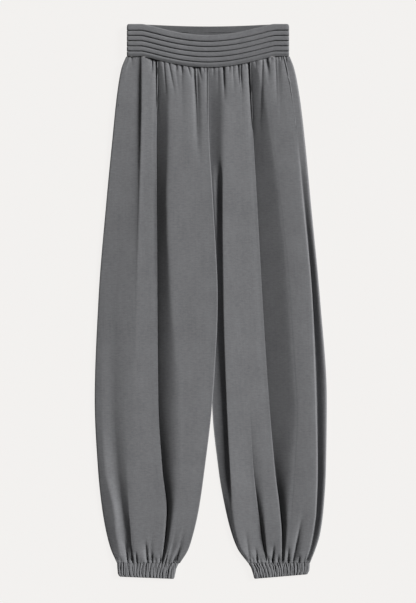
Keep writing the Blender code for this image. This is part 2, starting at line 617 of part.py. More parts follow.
def cuff_section(first, last):
    """A flat ring of cloth between two x values: its rippled outside and plain inside."""
    wall = CUFF_WALL
    middle = CUFF_LOFT / 2
    outside = [(first, middle), (first + 0.5, middle + 2.4), (first + 2.2, CUFF_LOFT - 0.9)]
    inside = [(first + wall, middle), (first + wall + 0.4, middle + 0.9), (first + wall + 1.2, CUFF_LOFT - wall)]
    top_columns = 2 * CUFF_GATHERS + 1
    for i in range(top_columns):
        sway = 0.35 * math.sin(2.3 * i) if 0 < i < top_columns - 1 else 0.0
        x = mix(first + 4.6, last - 4.6, (i + sway) / (top_columns - 1))
        groove = CUFF_RIPPLE if i % 2 else 0.0
        outside.append((x, CUFF_LOFT - groove))
        inside.append((x, CUFF_LOFT - wall))
    outside += [(last - 2.2, CUFF_LOFT - 0.9), (last - 0.5, middle + 2.4), (last, middle)]
    inside += [(last - wall - 1.2, CUFF_LOFT - wall), (last - wall - 0.4, middle + 0.9), (last - wall, middle)]
    outside += [(last - 0.5, middle - 2.4), (last - 2.2, 0.9)]
    inside += [(last - wall - 0.4, middle - 0.9), (last - wall - 1.2, wall)]
    under_columns = 2 * CUFF_UNDER_GATHERS + 1
    for i in range(under_columns):
        x = mix(last - 4.6, first + 4.6, i / (under_columns - 1))
        groove = CUFF_UNDER_RIPPLE if i % 2 else 0.0
        outside.append((x, groove))
        inside.append((x, wall))
    outside += [(first + 2.2, 0.9), (first + 0.5, middle - 2.4), (first, middle)]
    inside += [(first + wall + 1.2, wall), (first + wall + 0.4, middle - 0.9), (first + wall, middle)]
    return outside, inside


def cuff(name, table, tilt):
    """An elasticated cuff: a flattened ring whose hem may slope across the leg."""
    outside = []
    inside = []
    for row in table:
        at = dict(zip(CUFF_COLUMNS, row))
        first = min(at["outer"], at["inner"])
        last = max(at["outer"], at["inner"])
        slope = tilt * ease(table[0][0], table[-1][0], at["drop"])
        outer, inner = cuff_section(first, last)
        ys = [LENGTH / 2 - at["drop"] + slope * (x - first) for x, _ in outer]
        outside.append([(x, y, z) for (x, z), y in zip(outer, ys)])
        inside.append([(x, y, z) for (x, z), y in zip(inner, ys)])
    return cloth_wall(name, np.array(outside), np.array(inside), ring=True)


for old in list(bpy.data.objects):
    bpy.data.objects.remove(old, do_unlink=True)

band_front()
band_back()
leg_front("front_right_leg", right_front_section, 1)
leg_front("front_left_leg", left_front_section, 1)
leg_back("back_right_leg", 0, 1)
leg_back("back_left_leg", 2, 3)
cuff("cuff_right", RIGHT_CUFF, RIGHT_CUFF_TILT)
cuff("cuff_left", LEFT_CUFF, LEFT_CUFF_TILT)
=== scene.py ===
"""Gathered balloon trousers in heathered grey jersey, laid flat and seen from straight above.

Every piece of cloth is a thin closed wall along the same sections as its solid in the frame,
with finer folds, creases and gathers. Tables and helpers are in millimetres, and a piece is made
in metres. "Drop" is the distance down from the waist's top corners, and left and right are the
wearer's, so the right leg lies at -X.
"""

import math
import random

import bmesh
import bpy
import numpy as np
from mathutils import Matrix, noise


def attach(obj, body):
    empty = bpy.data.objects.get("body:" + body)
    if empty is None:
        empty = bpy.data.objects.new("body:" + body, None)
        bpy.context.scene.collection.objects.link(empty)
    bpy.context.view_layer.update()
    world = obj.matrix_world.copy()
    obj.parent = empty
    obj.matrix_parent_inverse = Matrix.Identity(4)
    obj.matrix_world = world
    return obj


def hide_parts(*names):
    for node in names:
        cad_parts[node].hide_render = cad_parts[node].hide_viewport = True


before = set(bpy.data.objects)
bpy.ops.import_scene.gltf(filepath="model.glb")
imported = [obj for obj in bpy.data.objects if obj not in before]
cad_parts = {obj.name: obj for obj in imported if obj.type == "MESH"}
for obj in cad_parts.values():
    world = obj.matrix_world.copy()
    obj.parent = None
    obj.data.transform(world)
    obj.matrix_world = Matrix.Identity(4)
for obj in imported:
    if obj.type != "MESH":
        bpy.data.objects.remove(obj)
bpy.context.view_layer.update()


# The front of the waistband: doubled jersey, sewn into six level ribs by five pin tucks. Its top
# edge is rolled over, it joins the back in the side folds, and it dips in its middle, so that
# the plain inside of the back shows above it.
MM = 0.001
LENGTH = 1030.0
BAND_DEPTH = 59.7
BAND_RIGHT_X = -155.4
BAND_LEFT_X = 145.2
BAND_LOFT = 10.5           # height at the sides
BAND_CROWN = 0.4           # and how much higher the middle stands
BAND_WALL = 2.0
BACK_WALL = 1.2
SEAM_GAP = 0.3
FOOT = BACK_WALL + SEAM_GAP    # height at which a front is sewn to its back
BAND_MIDDLE = (BAND_LEFT_X + BAND_RIGHT_X) / 2
BAND_HALF = (BAND_LEFT_X - BAND_RIGHT_X) / 2
FRONT_DIP = 20.6
DIP_REACH = 0.83
DIP_POWER = 1.3
TUCK_UNDER = 1.2           # how far cloth turns in under its side fold
CORNER_DEPTH = 6.0         # the band's rounded top corners
CORNER_INSET = 3.2
SIDE_REACH = 5.0
SIDE_CURL = 0.35
SIDE_SHARE = 0.55
TUCK_DROPS = (0.0, 11.7, 21.3, 30.9, 40.5, 50.1, BAND_DEPTH)
TUCK_RELIEF = 2.6
BAND_SPACING = 1.6         # between the columns of the mesh
BAND_ARCH_POINTS = 9
BAND_WANDER = 0.22         # unevenness of the ribs
LAST_RIB_FALL = 0.8        # how much flatter the last rib ends, where the legs are sewn on
# One rib, from the groove above it to the fold that hangs over the next groove: share of its
# depth, share of the relief, and whether a row belongs to a tuck's fold only
RIB = ((0.075, -0.50, True), (0.105, 0.0, True), (0.13, 0.38, True), (0.18, 0.70, True),
       (0.28, 0.90, False), (0.45, 1.00, False), (0.66, 1.04, False), (0.84, 1.02, False),
       (0.93, 0.90, False), (0.975, 0.68, False), (0.995, 0.40, False), (0.985, 0.05, True),
       (0.965, -0.40, True))
ROLLED_EDGE = ((0.0, 0.10), (0.25, 0.42), (0.8, 0.70), (1.8, 0.88))     # drop and relief
RING_JOIN = 0.00001        # how near, in metres, the two ends of a ring lie before they are joined


def mix(a, b, share):
    """What lies the given share of the way from a to b."""
    return a + (b - a) * share


def ease(low, high, value):
    """0 below low, 1 above high, and smooth between."""
    t = np.clip((value - low) / (high - low), 0.0, 1.0)
    return t * t * (3 - 2 * t)


def cut_to(sections, spacing):
    """How many steps each stretch between two control points gets, so that none is too coarse."""
    longest = np.linalg.norm(np.diff(np.array(sections), axis=1), axis=2).max(axis=0)
    return np.maximum(1, np.ceil(longest / spacing)).astype(int)


def flowing(points, steps):
    """A smooth curve along a control polygon, with the given steps from one point to the next."""
    p = np.array(points, float)
    p = np.vstack([2 * p[0] - p[1], p, 2 * p[-1] - p[-2]])
    curve = []
    for i, count in enumerate(steps, start=1):
        t = (np.arange(count) / count)[:, None]
        weights = ((1 - t) ** 3, 3 * t ** 3 - 6 * t ** 2 + 4,
                   1 + 3 * t + 3 * t ** 2 - 3 * t ** 3, t ** 3)
        curve.append(sum(w * q for w, q in zip(weights, p[i - 1:i + 3])) / 6)
    return np.vstack(curve + [p[-2]])


def outward(points):
    """Unit vectors out of the cloth, to the left of the way that a section runs."""
    way = np.gradient(np.array(points, float), axis=0)
    way /= np.maximum(np.linalg.norm(way, axis=1), 1e-9)[:, None]
    return np.stack([-way[:, 1], way[:, 0]], axis=1)


def uneven(xs, down, scale, seed):
    """Soft unevenness between -1 and 1 along a row, of so many waves to the unit each way."""
    return np.array([noise.noise((x * scale[0], down * scale[1], seed)) for x in xs])


def from_ends(xs):
    """How many columns each place in a row lies from the nearer end."""
    return np.minimum(np.arange(len(xs)), np.arange(len(xs))[::-1])


def row_of(xs, ys, zs):
    """One row of a grid of points."""
    return np.stack([xs, ys, zs], axis=1)


def widest_x(edge, before, after):
    """Where a control point lies so that the smooth curve round a side fold just meets its edge."""
    return (6 * edge - before - after) / 4


def side_fold(edge, way, top, room, curl, beside):
    """Control points of a tight side fold, from the seam at its foot up to the top of the cloth.

    curl is how far its rounded edge stands up, and beside how high the cloth is next to it.
    """
    reach = min(SIDE_REACH, SIDE_SHARE * room)
    foot_x = edge + way * TUCK_UNDER
    third_x = edge + way * 0.1
    return [
        (foot_x, FOOT),
        (widest_x(edge, foot_x, third_x), mix(FOOT, top, 0.36)),
        (third_x, mix(FOOT, top, 0.80)),
        (edge + way * 0.9, top + curl),
        (edge + way * reach, beside),
    ]


def waist_dip(x, depth):
    """How far the waist line dips at x, for a dip of the given depth in its middle."""
    share = np.abs(x - BAND_MIDDLE) / (BAND_HALF * DIP_REACH)
    return depth * np.clip(1 - share * share, 0, None) ** DIP_POWER


def rounded_corner(xs, drop):
    """The xs of a row of the band, drawn in where the row lies in its rounded top corners."""
    t = max(0.0, 1 - drop / CORNER_DEPTH)
    inset = CORNER_INSET * (1 - math.sqrt(1 - t * t))
    return BAND_MIDDLE + (xs - BAND_MIDDLE) * (1 - inset / BAND_HALF)


def band_section():
    """The band's plain section, from its right side fold over the arch to its left side fold."""
    width = BAND_LEFT_X - BAND_RIGHT_X
    right_side = side_fold(BAND_RIGHT_X, 1, BAND_LOFT, width, SIDE_CURL, BAND_LOFT)
    left_side = side_fold(BAND_LEFT_X, -1, BAND_LOFT, width, SIDE_CURL, BAND_LOFT)
    arch = []
    for i in range(1, BAND_ARCH_POINTS + 1):
        share = i / (BAND_ARCH_POINTS + 1)
        x = mix(right_side[-1][0], left_side[-1][0], share)
        arch.append((x, BAND_LOFT + BAND_CROWN * math.sin(math.pi * share)))
    section = right_side + arch + left_side[::-1]
    return flowing(section, cut_to([section], BAND_SPACING))


def band_rows():
    """Drop and relief of each row of the band, from its rolled edge to the leg seam."""
    rows = list(ROLLED_EDGE)
    for upper, lower in zip(TUCK_DROPS[:-1], TUCK_DROPS[1:]):
        for share, relief, tuck_only in RIB:
            outer_rib = upper == 0.0 and share < 0.5 or lower == BAND_DEPTH and share > 0.5
            if not (tuck_only and outer_rib):
                flattened = LAST_RIB_FALL * ease(0.4, 1.0, share) if lower == BAND_DEPTH else 0.0
                rows.append((mix(upper, lower, share), relief * (1 - flattened)))
    return rows


def lay(name, outside, inside, ring=False):
    """A thin closed wall of cloth between two grids of points, with a map of the cloth itself."""
    rows, columns = outside.shape[:2]
    across = np.linalg.norm(np.diff(outside, axis=1), axis=2)
    across = np.concatenate([np.zeros((rows, 1)), np.cumsum(across, axis=1)], axis=1)
    across -= across[:, columns // 2][:, None]
    down = np.linalg.norm(np.diff(outside[:, columns // 2], axis=0), axis=1)
    down = np.concatenate([[0.0], np.cumsum(down)])[:, None] + np.zeros((1, columns))
    bm = bmesh.new()
    lining = bm.verts.layers.float_vector.new("inside of the cloth")
    place = bm.verts.layers.float_vector.new("place on the cloth")
    cloth_map = bm.loops.layers.uv.new("cloth map")
    bmesh.ops.create_grid(bm, x_segments=columns - 1, y_segments=rows - 1, size=1.0)
    bm.verts.ensure_lookup_table()
    outer_points = outside.reshape(-1, 3)
    inner_points = inside.reshape(-1, 3)
    grids = zip(bm.verts, outer_points, inner_points, across.ravel(), down.ravel())
    for vert, outer, inner, u, v in grids:
        vert.co = outer * MM
        vert[lining] = inner * MM
        vert[place] = (u * MM, -v * MM, 0.0)
    for face in bm.faces:
        for loop in face.loops:
            loop[cloth_map].uv = loop.vert[place].xy
    if ring:
        bmesh.ops.remove_doubles(bm, verts=bm.verts, dist=RING_JOIN)
    grown = bmesh.ops.extrude_face_region(bm, geom=bm.faces[:], use_keep_orig=True)
    for vert in grown["geom"]:
        if isinstance(vert, bmesh.types.BMVert):
            vert.co = vert[lining]
    bmesh.ops.recalc_face_normals(bm, faces=bm.faces)
    mesh = bpy.data.meshes.new(name)
    bm.to_mesh(mesh)
    bm.free()
    mesh.shade_smooth()
    piece = bpy.data.objects.new(name, mesh)
    bpy.context.scene.collection.objects.link(piece)
    return piece


def band_front_cloth():
    """Outside and inside of the front: ribs that overhang their grooves, over a plain arch."""
    plain = band_section()
    out = outward(plain)
    xs = plain[:, 0]
    level_side = ease(0, 3, from_ends(xs))
    outside = []
    inside = []
    for drop, relief in band_rows():
        wander = uneven(xs, drop, (0.02, 0.06), 3.0)
        raised = plain + out * ((relief * TUCK_RELIEF + BAND_WANDER * wander) * level_side)[:, None]
        raised[:, 0] = np.clip(raised[:, 0], BAND_RIGHT_X - 0.3, BAND_LEFT_X + 0.3)
        lined = plain - out * BAND_WALL
        ys = LENGTH / 2 - drop - waist_dip(xs, FRONT_DIP)
        outside.append(row_of(rounded_corner(raised[:, 0], drop), ys, raised[:, 1]))
        inside.append(row_of(rounded_corner(lined[:, 0], drop), ys, lined[:, 1]))
    return np.array(outside), np.array(inside)


class Yarn:
    """A socket's value in a material, so that the maths of a cloth reads as an expression."""

    def __init__(self, tree, socket):
        self.tree = tree
        self.socket = socket

    def node(self, kind, settings=None, inputs=None):
        """Any node: its type, its settings, and the values or links of its sockets."""
        made = self.tree.nodes.new(kind)
        for name, value in (settings or {}).items():
            setattr(made, name, value)
        for name, value in (inputs or {}).items():
            if isinstance(value, Yarn):
                self.tree.links.new(value.socket, made.inputs[name])
            else:
                made.inputs[name].default_value = value
        return made

    def spun(self, kind, output, settings=None, inputs=None):
        """One output of a new node."""
        return Yarn(self.tree, self.node(kind, settings, inputs).outputs[output])

    def maths(self, operation, first, second=0.0):
        return self.spun("ShaderNodeMath", 0, {"operation": operation}, {0: first, 1: second})

    def __add__(self, other):
        return self.maths("ADD", self, other)

    __radd__ = __add__

    def __sub__(self, other):
        return self.maths("SUBTRACT", self, other)

    def __rsub__(self, other):
        return self.maths("SUBTRACT", other, self)

    def __mul__(self, other):
        return self.maths("MULTIPLY", self, other)

    __rmul__ = __mul__

    def part(self):
        """What is left after whole numbers are taken away."""
        return self.maths("FRACT", self)

    def hump(self):
        """A smooth hump that rises from 0 to 1 and back as the value goes from 0 to 1."""
        return self.maths("SINE", self * math.pi)

    def size(self):
        """The value without its sign."""
        return self.maths("ABSOLUTE", self)

    def between(self, low, high):
        """0 at low and 1 at high, held inside that range."""
        limits = {"Value": self, "From Min": low, "From Max": high}
        return self.spun("ShaderNodeMapRange", "Result", {"clamp": True}, limits)

    def tint(self, low, high):
        """The colour that lies this share of the way from one to another."""
        inputs = {0: self, 6: low, 7: high}
        return self.spun("ShaderNodeMix", 2, {"data_type": "RGBA"}, inputs)

    def axis(self, name):
        """One coordinate of a place."""
        return self.spun("ShaderNodeSeparateXYZ", name, None, {0: self})

    def grains(self, across, down, detail, shift):
        """Noise whose grains are so many to the metre across the cloth and down it."""
        sizes = {0: self, 1: (across, down, 0.0), 2: (shift, 2.7 * shift, shift)}
        place = self.spun("ShaderNodeVectorMath", "Vector", {"operation": "MULTIPLY_ADD"}, sizes)
        inputs = {"Vector": place, "Scale": 1.0, "Detail": detail, "Roughness": 0.6}
        return self.spun("ShaderNodeTexNoise", "Fac", None, inputs)


# The dark fibres, the light ones and the palest flecks
JERSEY_TINTS = ((0.118, 0.119, 0.125), (0.200, 0.202, 0.209), (0.270, 0.272, 0.277))
FLECK_SHARE = 0.35
JERSEY_SHEEN = 0.12
JERSEY_SHEEN_ROUGHNESS = 0.5
JERSEY_SPECULAR = 0.25
JERSEY_ROUGHNESS = (0.84, 0.97)
WALES = 1150.0             # columns of stitches in a metre
COURSES = 1450.0           # rows of stitches in a metre
STITCH_LEAN = 0.55         # how far the two legs of a stitch slope to each other
STITCH_HEIGHT = 0.00022
STITCH_STRENGTH = 0.55


def jersey(name, shift, shade=1.0):
    """Heathered grey jersey: pale and dark fibres that run along its rows, over fine stitches."""
    # shade scales every colour of the cloth; below 1 it darkens the cloth as painted shade
    dark, light, pale = ([shade * level for level in tint] + [1.0] for tint in JERSEY_TINTS)
    material = bpy.data.materials.new(name)
    material.use_nodes = True
    tree = material.node_tree
    shader = tree.nodes["Principled BSDF"]
    cloth = Yarn(tree, tree.nodes.new("ShaderNodeUVMap").outputs["UV"])

    dashes = cloth.grains(120.0, 360.0, 3.0, shift).between(0.32, 0.70)
    fibres = cloth.grains(260.0, 1500.0, 2.0, shift + 4.0).between(0.30, 0.72)
    streaks = cloth.grains(330.0, 14.0, 1.0, shift + 9.0).between(0.28, 0.72)
    cloud = cloth.grains(26.0, 20.0, 3.0, shift + 13.0).between(0.30, 0.70)
    fleck = cloth.grains(150.0, 620.0, 1.0, shift + 21.0).between(0.66, 0.80)
    tone = dashes * 0.38 + fibres * 0.26 + streaks * 0.12 + cloud * 0.24
    colour = (fleck * FLECK_SHARE).tint(tone.tint(dark, light), pale)

    wale = (cloth.axis("X") * WALES).part()
    leg = (wale * 2.0).part().hump()
    course = (cloth.axis("Y") * COURSES + (wale * 2.0 - 1.0).size() * STITCH_LEAN).part().hump()
    face = leg * (course * 0.6 + 0.4) * 0.6 + fibres * 0.4
    relief = face + dashes * 0.5
    knit = {"Height": relief, "Strength": STITCH_STRENGTH, "Distance": STITCH_HEIGHT}
    normal = cloth.spun("ShaderNodeBump", "Normal", None, knit)
    rough = mix(*JERSEY_ROUGHNESS, fibres)

    tree.links.new(colour.socket, shader.inputs["Base Color"])
    tree.links.new(rough.socket, shader.inputs["Roughness"])
    tree.links.new(normal.socket, shader.inputs["Normal"])
    shader.inputs["Sheen Weight"].default_value = JERSEY_SHEEN
    shader.inputs["Sheen Roughness"].default_value = JERSEY_SHEEN_ROUGHNESS
    shader.inputs["Specular IOR Level"].default_value = JERSEY_SPECULAR
    return material


def dress(piece, node, material):
    """Gives a piece its cloth, hides the solid that it stands for, and hangs it from the root."""
    piece.data.materials.append(material)
    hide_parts(node)
    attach(piece, "root")


band_front = lay("tucked_band_front", *band_front_cloth())
band_front_jersey = jersey("band front jersey", 1.0)
dress(band_front, "band_front", band_front_jersey)


# The back of the waistband: the same six ribs, which rest on the ground. Above the dipped front
# its plain inside shows, a smooth doubled cloth with the same rolled edge.
BACK_DIP = 3.7
BACK_TUCK_RELIEF = 0.8
BACK_COLUMNS = 170
BACK_ROLL = 0.45           # how far its top edge rolls down
BACK_RIPPLE = 0.12         # unevenness of its plain inside
INSIDE_PAINTED_SHADE = 0.66          # painted shade: how much darker the back's inside is coloured, standing in for the shade that falls there


def band_back_cloth():
    """Inside (facing up) and outside (facing the ground) of the back."""
    xs = np.linspace(BAND_RIGHT_X + TUCK_UNDER, BAND_LEFT_X - TUCK_UNDER, BACK_COLUMNS)
    held_down = ease(0, 2, from_ends(xs))
    above = []
    below = []
    for drop, relief in band_rows():
        ys = LENGTH / 2 - drop - waist_dip(xs, BACK_DIP)
        lift = BACK_TUCK_RELIEF * (1 - min(max(relief, 0.0), 1.0)) * held_down
        rolled = BACK_ROLL * (1 - ease(0.0, 1.6, drop))
        ripple = BACK_RIPPLE * uneven(xs, drop, (0.03, 0.08), 8.0)
        facing_up = BACK_WALL - rolled + ripple * ease(1.0, 4.0, drop)
        facing_down = np.minimum(lift + 0.5 * rolled, 0.85)
        row_xs = rounded_corner(xs, drop)
        above.append(row_of(row_xs, ys, facing_up))
        below.append(row_of(row_xs, ys, facing_down))
    return np.array(above), np.array(below)


band_back = lay("tucked_band_back", *band_back_cloth())
# The back's inside is coloured darker: painted shade for the shade inside the band behind its
# raised front
band_back_jersey = jersey("band back jersey", 31.0, INSIDE_PAINTED_SHADE)
dress(band_back, "band_back", band_back_jersey)


# The front of the right leg: one wide panel of jersey, gathered into the band and into the cuff.
# Between them it balloons into a ridge and a valley at its side, a crisp crease, and one deep
# fold that laps over itself.
CUFF_DROP = 1000.6
LEG_WALL = 1.0
DIP_FADE = 95.0
LEG_SPACING = 1.3          # between the columns of the mesh, at most
ROW_SPACING = (0.55, 7.5)  # between its rows, at the seams and far from them
ROW_GROWTH = 0.095
STATIONS = (60, 82, 130, 215, 327, 512, 698, 828, 902, 948, 975, 1001)
RIDGE_HEIGHT = (11.5, 14.0, 17.6, 21.6, 24.6, 26.0, 26.5, 24.5, 21.5, 17.5, 13.5, 10.3)
RIGHT_LEG = {
    "outer edge":   (-157.1, -165.8, -174.0, -182.9, -193.7, -208.7,
                     -215.6, -209.4, -201.5, -193.1, -185.7, -174.2),
    "outer ridge":  (-153.6, -161.2, -168.0, -175.0, -184.0, -197.0,
                     -203.0, -196.0, -180.0, -175.6, -170.5, -167.2),
    "side valley":  (-148.0, -153.6, -157.3, -161.0, -166.6, -175.0,
                     -178.0, -171.0, -163.5, -157.2, -154.6, -150.1),
    "crisp crease": (-128.5, -128.5, -128.6, -129.8, -132.6, -137.8,
                     -141.6, -140.6, -138.7, -138.2, -137.0, -135.4),
    "long fold":    (-98.8, -99.2, -99.8, -100.7, -99.8, -98.8,
                     -97.3, -89.6, -81.6, -84.9, -88.0, -92.3),
    "inner gather": (-26.4, -25.9, -24.6, -22.3, -19.2, -14.8,
                     -21.0, -33.5, -44.0, -53.0, -59.5, -67.8),
    "inner edge":   (-4.2, -4.2, -3.8, -3.2, 2.9, 11.6,
                     1.9, -12.9, -23.7, -34.2, -42.8, -58.6),
}
# The front rises to the right in steps. Heights at the outer edge and on the crisp crease, and
# how early the cloth climbs between them (0 late, 1 early). The outer ridge stands above that
# slope, the side step drops the cloth behind it, the crease step is climbed just before the
# crease, and the bead stands on it
RIGHT_HEIGHTS = {
    "outer edge":    (9.5, 9.0, 8.0, 6.8, 5.8, 5.6, 5.6, 5.2, 4.8, 4.6, 5.2, 6.8),
    "outer ridge":   (0.0, 0.0, 0.0, 0.0, 0.0, 0.0, 0.2, 0.9, 1.5, 1.5, 1.0, 0.3),
    "crisp crease":  (10.5, 11.0, 11.6, 12.2, 12.4, 12.4, 12.6, 12.8, 13.2, 12.8, 11.4, 9.6),
    "early slope":   (0.5, 0.3, 0.0, 0.0, 0.1, 0.7, 0.9, 1.0, 1.0, 1.0, 1.0, 1.0),
    "side step":     (0.0, 0.0, 0.0, 0.0, 0.0, 0.3, 1.9, 4.6, 6.2, 6.0, 4.2, 1.4),
    "crease step":   (2.4, 4.6, 5.2, 3.6, 1.2, 0.2, 0.0, 0.0, 0.0, 0.0, 0.0, 0.0),
    "crease bead":   (0.2, 0.3, 0.4, 0.8, 0.6, 0.1, 0.0, 0.0, 0.0, 0.0, 0.0, 0.0),
}
# The long fold's ramp: its width and rise, its shape, which is above 1 where it is steep at
# first, and how deep a slot it leaves under its lip
RIGHT_FOLD = {
    "width": (9.0, 14.0, 21.0, 22.5, 18.5, 25.0, 37.0, 30.0, 16.0, 11.0, 8.0, 5.5),
    "rise": (2.4, 5.0, 8.0, 11.4, 13.0, 14.4, 14.2, 11.8, 8.0, 4.8, 3.4, 1.8),
    "shape": (1.0, 1.0, 1.0, 1.0, 1.0, 1.15, 1.8, 2.3, 2.7, 2.5, 2.0, 1.4),
    "slot": (0.4, 0.8, 0.8, 0.4, 0.2, 0.0, 0.4, 3.6, 8.8, 9.8, 7.6, 2.8),
}
RIDGE_ROUND = 1.2              # how round the outer ridge is
VALLEY_CLIMB = (-5.0, 12.0)    # where the cloth climbs out of the side valley
EARLY_CLIMB = 1.8              # how bent the early slope is
LATE_CLIMB = 1.7               # and the late one
# Soft gathers between the long folds: which two they lie between, how far across, and their
# depth and reach under the band and above the cuff
GATHER_COLUMNS = (
    "after", "before", "across", "top", "top reach", "foot", "foot reach", "half width")
RIGHT_GATHERS = (
    ("side valley", "side valley", 0.0, 0.8, 60, 1.6, 160, 8.5),
    ("crisp crease", "long fold", 0.50, 0.4, 60, 2.4, 60, 4.2),
    ("long fold", "inner gather", 0.35, 1.6, 90, 2.0, 70, 4.4),
    ("inner gather", "inner gather", 0.0, 3.6, 230, 2.2, 80, 4.2),
)
# Creases that run down from the band, and others that run up from the cuff: x at the seam and at
# the end, length, depth, half width, and lean, above 0 where the side at higher x is the steep one
CREASE_COLUMNS = ("x at seam", "x at end", "reach", "depth", "half width", "lean")
RIGHT_TOP_CREASES = (
    (-160.5, -161.5, 20, 0.8, 1.4, 0.0),
    (-147.5, -146.0, 22, 0.9, 1.4, 0.0),
    (-108.2, -110.0, 30, 2.8, 1.3, 0.2),
    (-101.5, -99.0, 125, 2.6, 1.7, 0.3),
    (-87.2, -81.0, 90, 1.8, 1.5, 0.2),
    (-77.5, -65.5, 74, 1.9, 1.5, 0.2),
    (-63.8, -64.0, 16, 2.2, 1.2, 0.0),
    (-54.6, -53.6, 20, 2.4, 1.3, 0.0),
    (-53.6, -52.0, 150, 0.8, 2.4, 0.2),
    (-42.0, -35.0, 30, 2.2, 1.3, 0.2),
    (-30.0, -24.0, 190, 4.8, 1.9, 0.4),
    (-21.8, -16.0, 36, 2.0, 1.3, 0.0),
    (-13.0, -12.4, 14, 1.4, 1.2, 0.0),
    (-7.2, -7.0, 130, 1.4, 1.0, 0.3),
)
RIGHT_FOOT_CREASES = (
    (-166.5, -169.0, 14, 1.6, 1.2, 0.0),
    (-154.0, -160.5, 46, 3.6, 1.4, 0.3),
    (-145.0, -149.0, 34, 3.8, 1.3, 0.3),
    (-137.0, -139.5, 24, 3.4, 1.2, 0.3),
    (-117.0, -121.5, 42, 5.4, 1.6, 0.4),
    (-109.0, -110.0, 24, 3.0, 1.2, 0.2),
    (-102.4, -103.0, 12, 2.2, 1.1, 0.0),
    (-94.2, -93.0, 20, 3.0, 1.2, 0.2),
    (-84.0, -80.0, 24, 1.8, 1.2, 0.0),
    (-70.0, -60.0, 28, 4.6, 1.4, 0.4),
    (-64.5, -55.0, 42, 1.4, 1.4, 0.2),
)
CREASE_FORCE = 1.4                  # how much deeper all creases are pressed than their table says
CREASE_SPREAD = 0.9                 # how much wider a crease gets to its end
CREASE_FADE = 0.95
CREASE_SOFT = (0.12, 0.82)          # how rounded its bottom is at the seam and at its end
BAND_PUCKERS = (24, 13.0, 0.9)      # number, reach and depth of the small gathers at the band
CUFF_PUCKERS = (20, 12.0, 1.2)      # and at the cuff
PUCKER_SCATTER = 0.30               # how far one may lie off its even place
PUCKER_DRIFT = 0.012                # how far it may run aslant
PUCKER_REACHES = (0.45, 1.7)
PUCKER_DEPTHS = (0.35, 1.35)
PUCKER_HALF_WIDTH = 1.15
PUCKER_SPREAD = 1.2
PUCKER_FADE = 1.1
PUCKER_SOFT = (0.15, 1.35)
# The right leg's inner edge: how far each point lies out from it, and its share of the height. It
# leans over the centre seam, and below the crotch it bulges over the other leg's edge
LEANING_EDGE = ((-0.9, 0.40), (-0.6, 0.86), (0.4, 0.97), (0.4, 1.0), (-0.4, 1.01))
BULGING_EDGE = ((-0.4, 0.36), (-0.3, 0.80), (1.3, 0.96), (1.3, 0.995), (0.5, 1.01))
INNER_BULGE = (170.0, 290.0)        # drops over which the one turns into the other
INNER_FALL = 1.0                    # from the long fold's crest to the inner edge
GATHER_FLOOR = 3.2                  # the lowest that a gather's bottom lies
GATHER_SIDES = (0.7, 1.4)           # its steep side and its long one, in half widths
GATHER_ROOM = 0.45                  # the share of the cloth beside it that it may take
GATHER_FADE = 1.4
GATHER_WIDENS = (80, 500, 0.5)      # drops between which gathers get wider, and by how much
GATHER_NARROWS = (900, 1001, 0.35)
RAMP_SHARES = (0.12, 0.30, 0.52, 0.76, 0.97)
SEAM_DITCH = (0.7, 2.6)             # how far the cloth dips into the band's seam, and how soon
CLOTH_SWELL = 0.55                  # slow unevenness of the laid cloth
SWELL_FROM_BAND = (20, 120)         # where it grows to its full size
SWELL_FROM_CUFF = (10, 80)
CUFF_TOP = 9.0                      # height at which a leg meets its cuff
CUFF_BLEND = 6.0                    # and how far above it the cloth turns to that height
CUFF_LINE_WIDTH = 0.8               # of the cuff's fine gathers, which start in the leg
CUFF_LINE_SOFT = 0.12
CUFF_LINE_SWAY = 1.3
CUFF_RIPPLE = 1.0
PUFF_RISE = 0.7                     # how far the cloth puffs up just above a cuff
PUFF_REACH = 26.0


def along_stations(values, drop):
    """A value given at the stations, read at any drop by a monotone cubic."""
    x = np.array(STATIONS, float)
    y = np.array(values, float)
    step = np.diff(x)
    slope = np.diff(y) / step
    tangent = np.zeros(len(x))
    for i in range(1, len(x) - 1):
        if slope[i - 1] * slope[i] > 0:
            before = 2 * step[i] + step[i - 1]
            after = step[i] + 2 * step[i - 1]
            tangent[i] = (before + after) / (before / slope[i - 1] + after / slope[i])
    tangent[0] = slope[0]
    tangent[-1] = slope[-1]
    at = min(max(drop, x[0]), x[-1])
    i = min(int(np.searchsorted(x, at, side="right")) - 1, len(step) - 1)
    t = (at - x[i]) / step[i]
    start = (1 + 2 * t) * (1 - t) ** 2 * y[i] + t * (1 - t) ** 2 * step[i] * tangent[i]
    end = t * t * (3 - 2 * t) * y[i + 1] - t * t * (1 - t) * step[i] * tangent[i + 1]
    return float(start + end)


def at_drop(table, drop):
    """Every row of a table, read at one drop."""
    return {name: along_stations(row, drop) for name, row in table.items()}


def leg_rows():
    """Nominal drops of a panel's rows, close together at the seams and wider apart between."""
    rows = [STATIONS[0]]
    while rows[-1] < CUFF_DROP - ROW_SPACING[0]:
        from_seam = min(rows[-1] - STATIONS[0], CUFF_DROP - rows[-1])
        rows.append(rows[-1] + min(ROW_SPACING[0] + ROW_GROWTH * from_seam, ROW_SPACING[1]))
    rows[-1] = CUFF_DROP
    return rows


def leg_drop(xs, nominal, depth):
    """The real drop along a row: rows follow the dipped band seam, and then straighten."""
    start = STATIONS[0]
    fade = 1 - ease(start, start + DIP_FADE, nominal)
    gap = SEAM_GAP * (1 - ease(start, start + 4, nominal))
    return nominal + gap + waist_dip(xs, depth) * fade


def morphed(first, second, share):
    """Points that lie the given share of the way from one row of points to another."""
    return [tuple(point) for point in mix(np.array(first), np.array(second), share)]


def gather_points(x, half_width, room_before, room_after, depth, level_at):
    """Control points of a soft gather: down quickly, and up again by a longer slope."""
    before = min(GATHER_SIDES[0] * half_width, GATHER_ROOM * room_before)
    after = min(GATHER_SIDES[1] * half_width, GATHER_ROOM * room_after)
    deep = min(depth, level_at(x) - GATHER_FLOOR)
    sides = ((-before, -0.1), (-0.2 * before, 0.9), (0.25 * after, 1.05), (after, -0.1))
    return [(x + step, level_at(x + step) - share * deep) for step, share in sides]


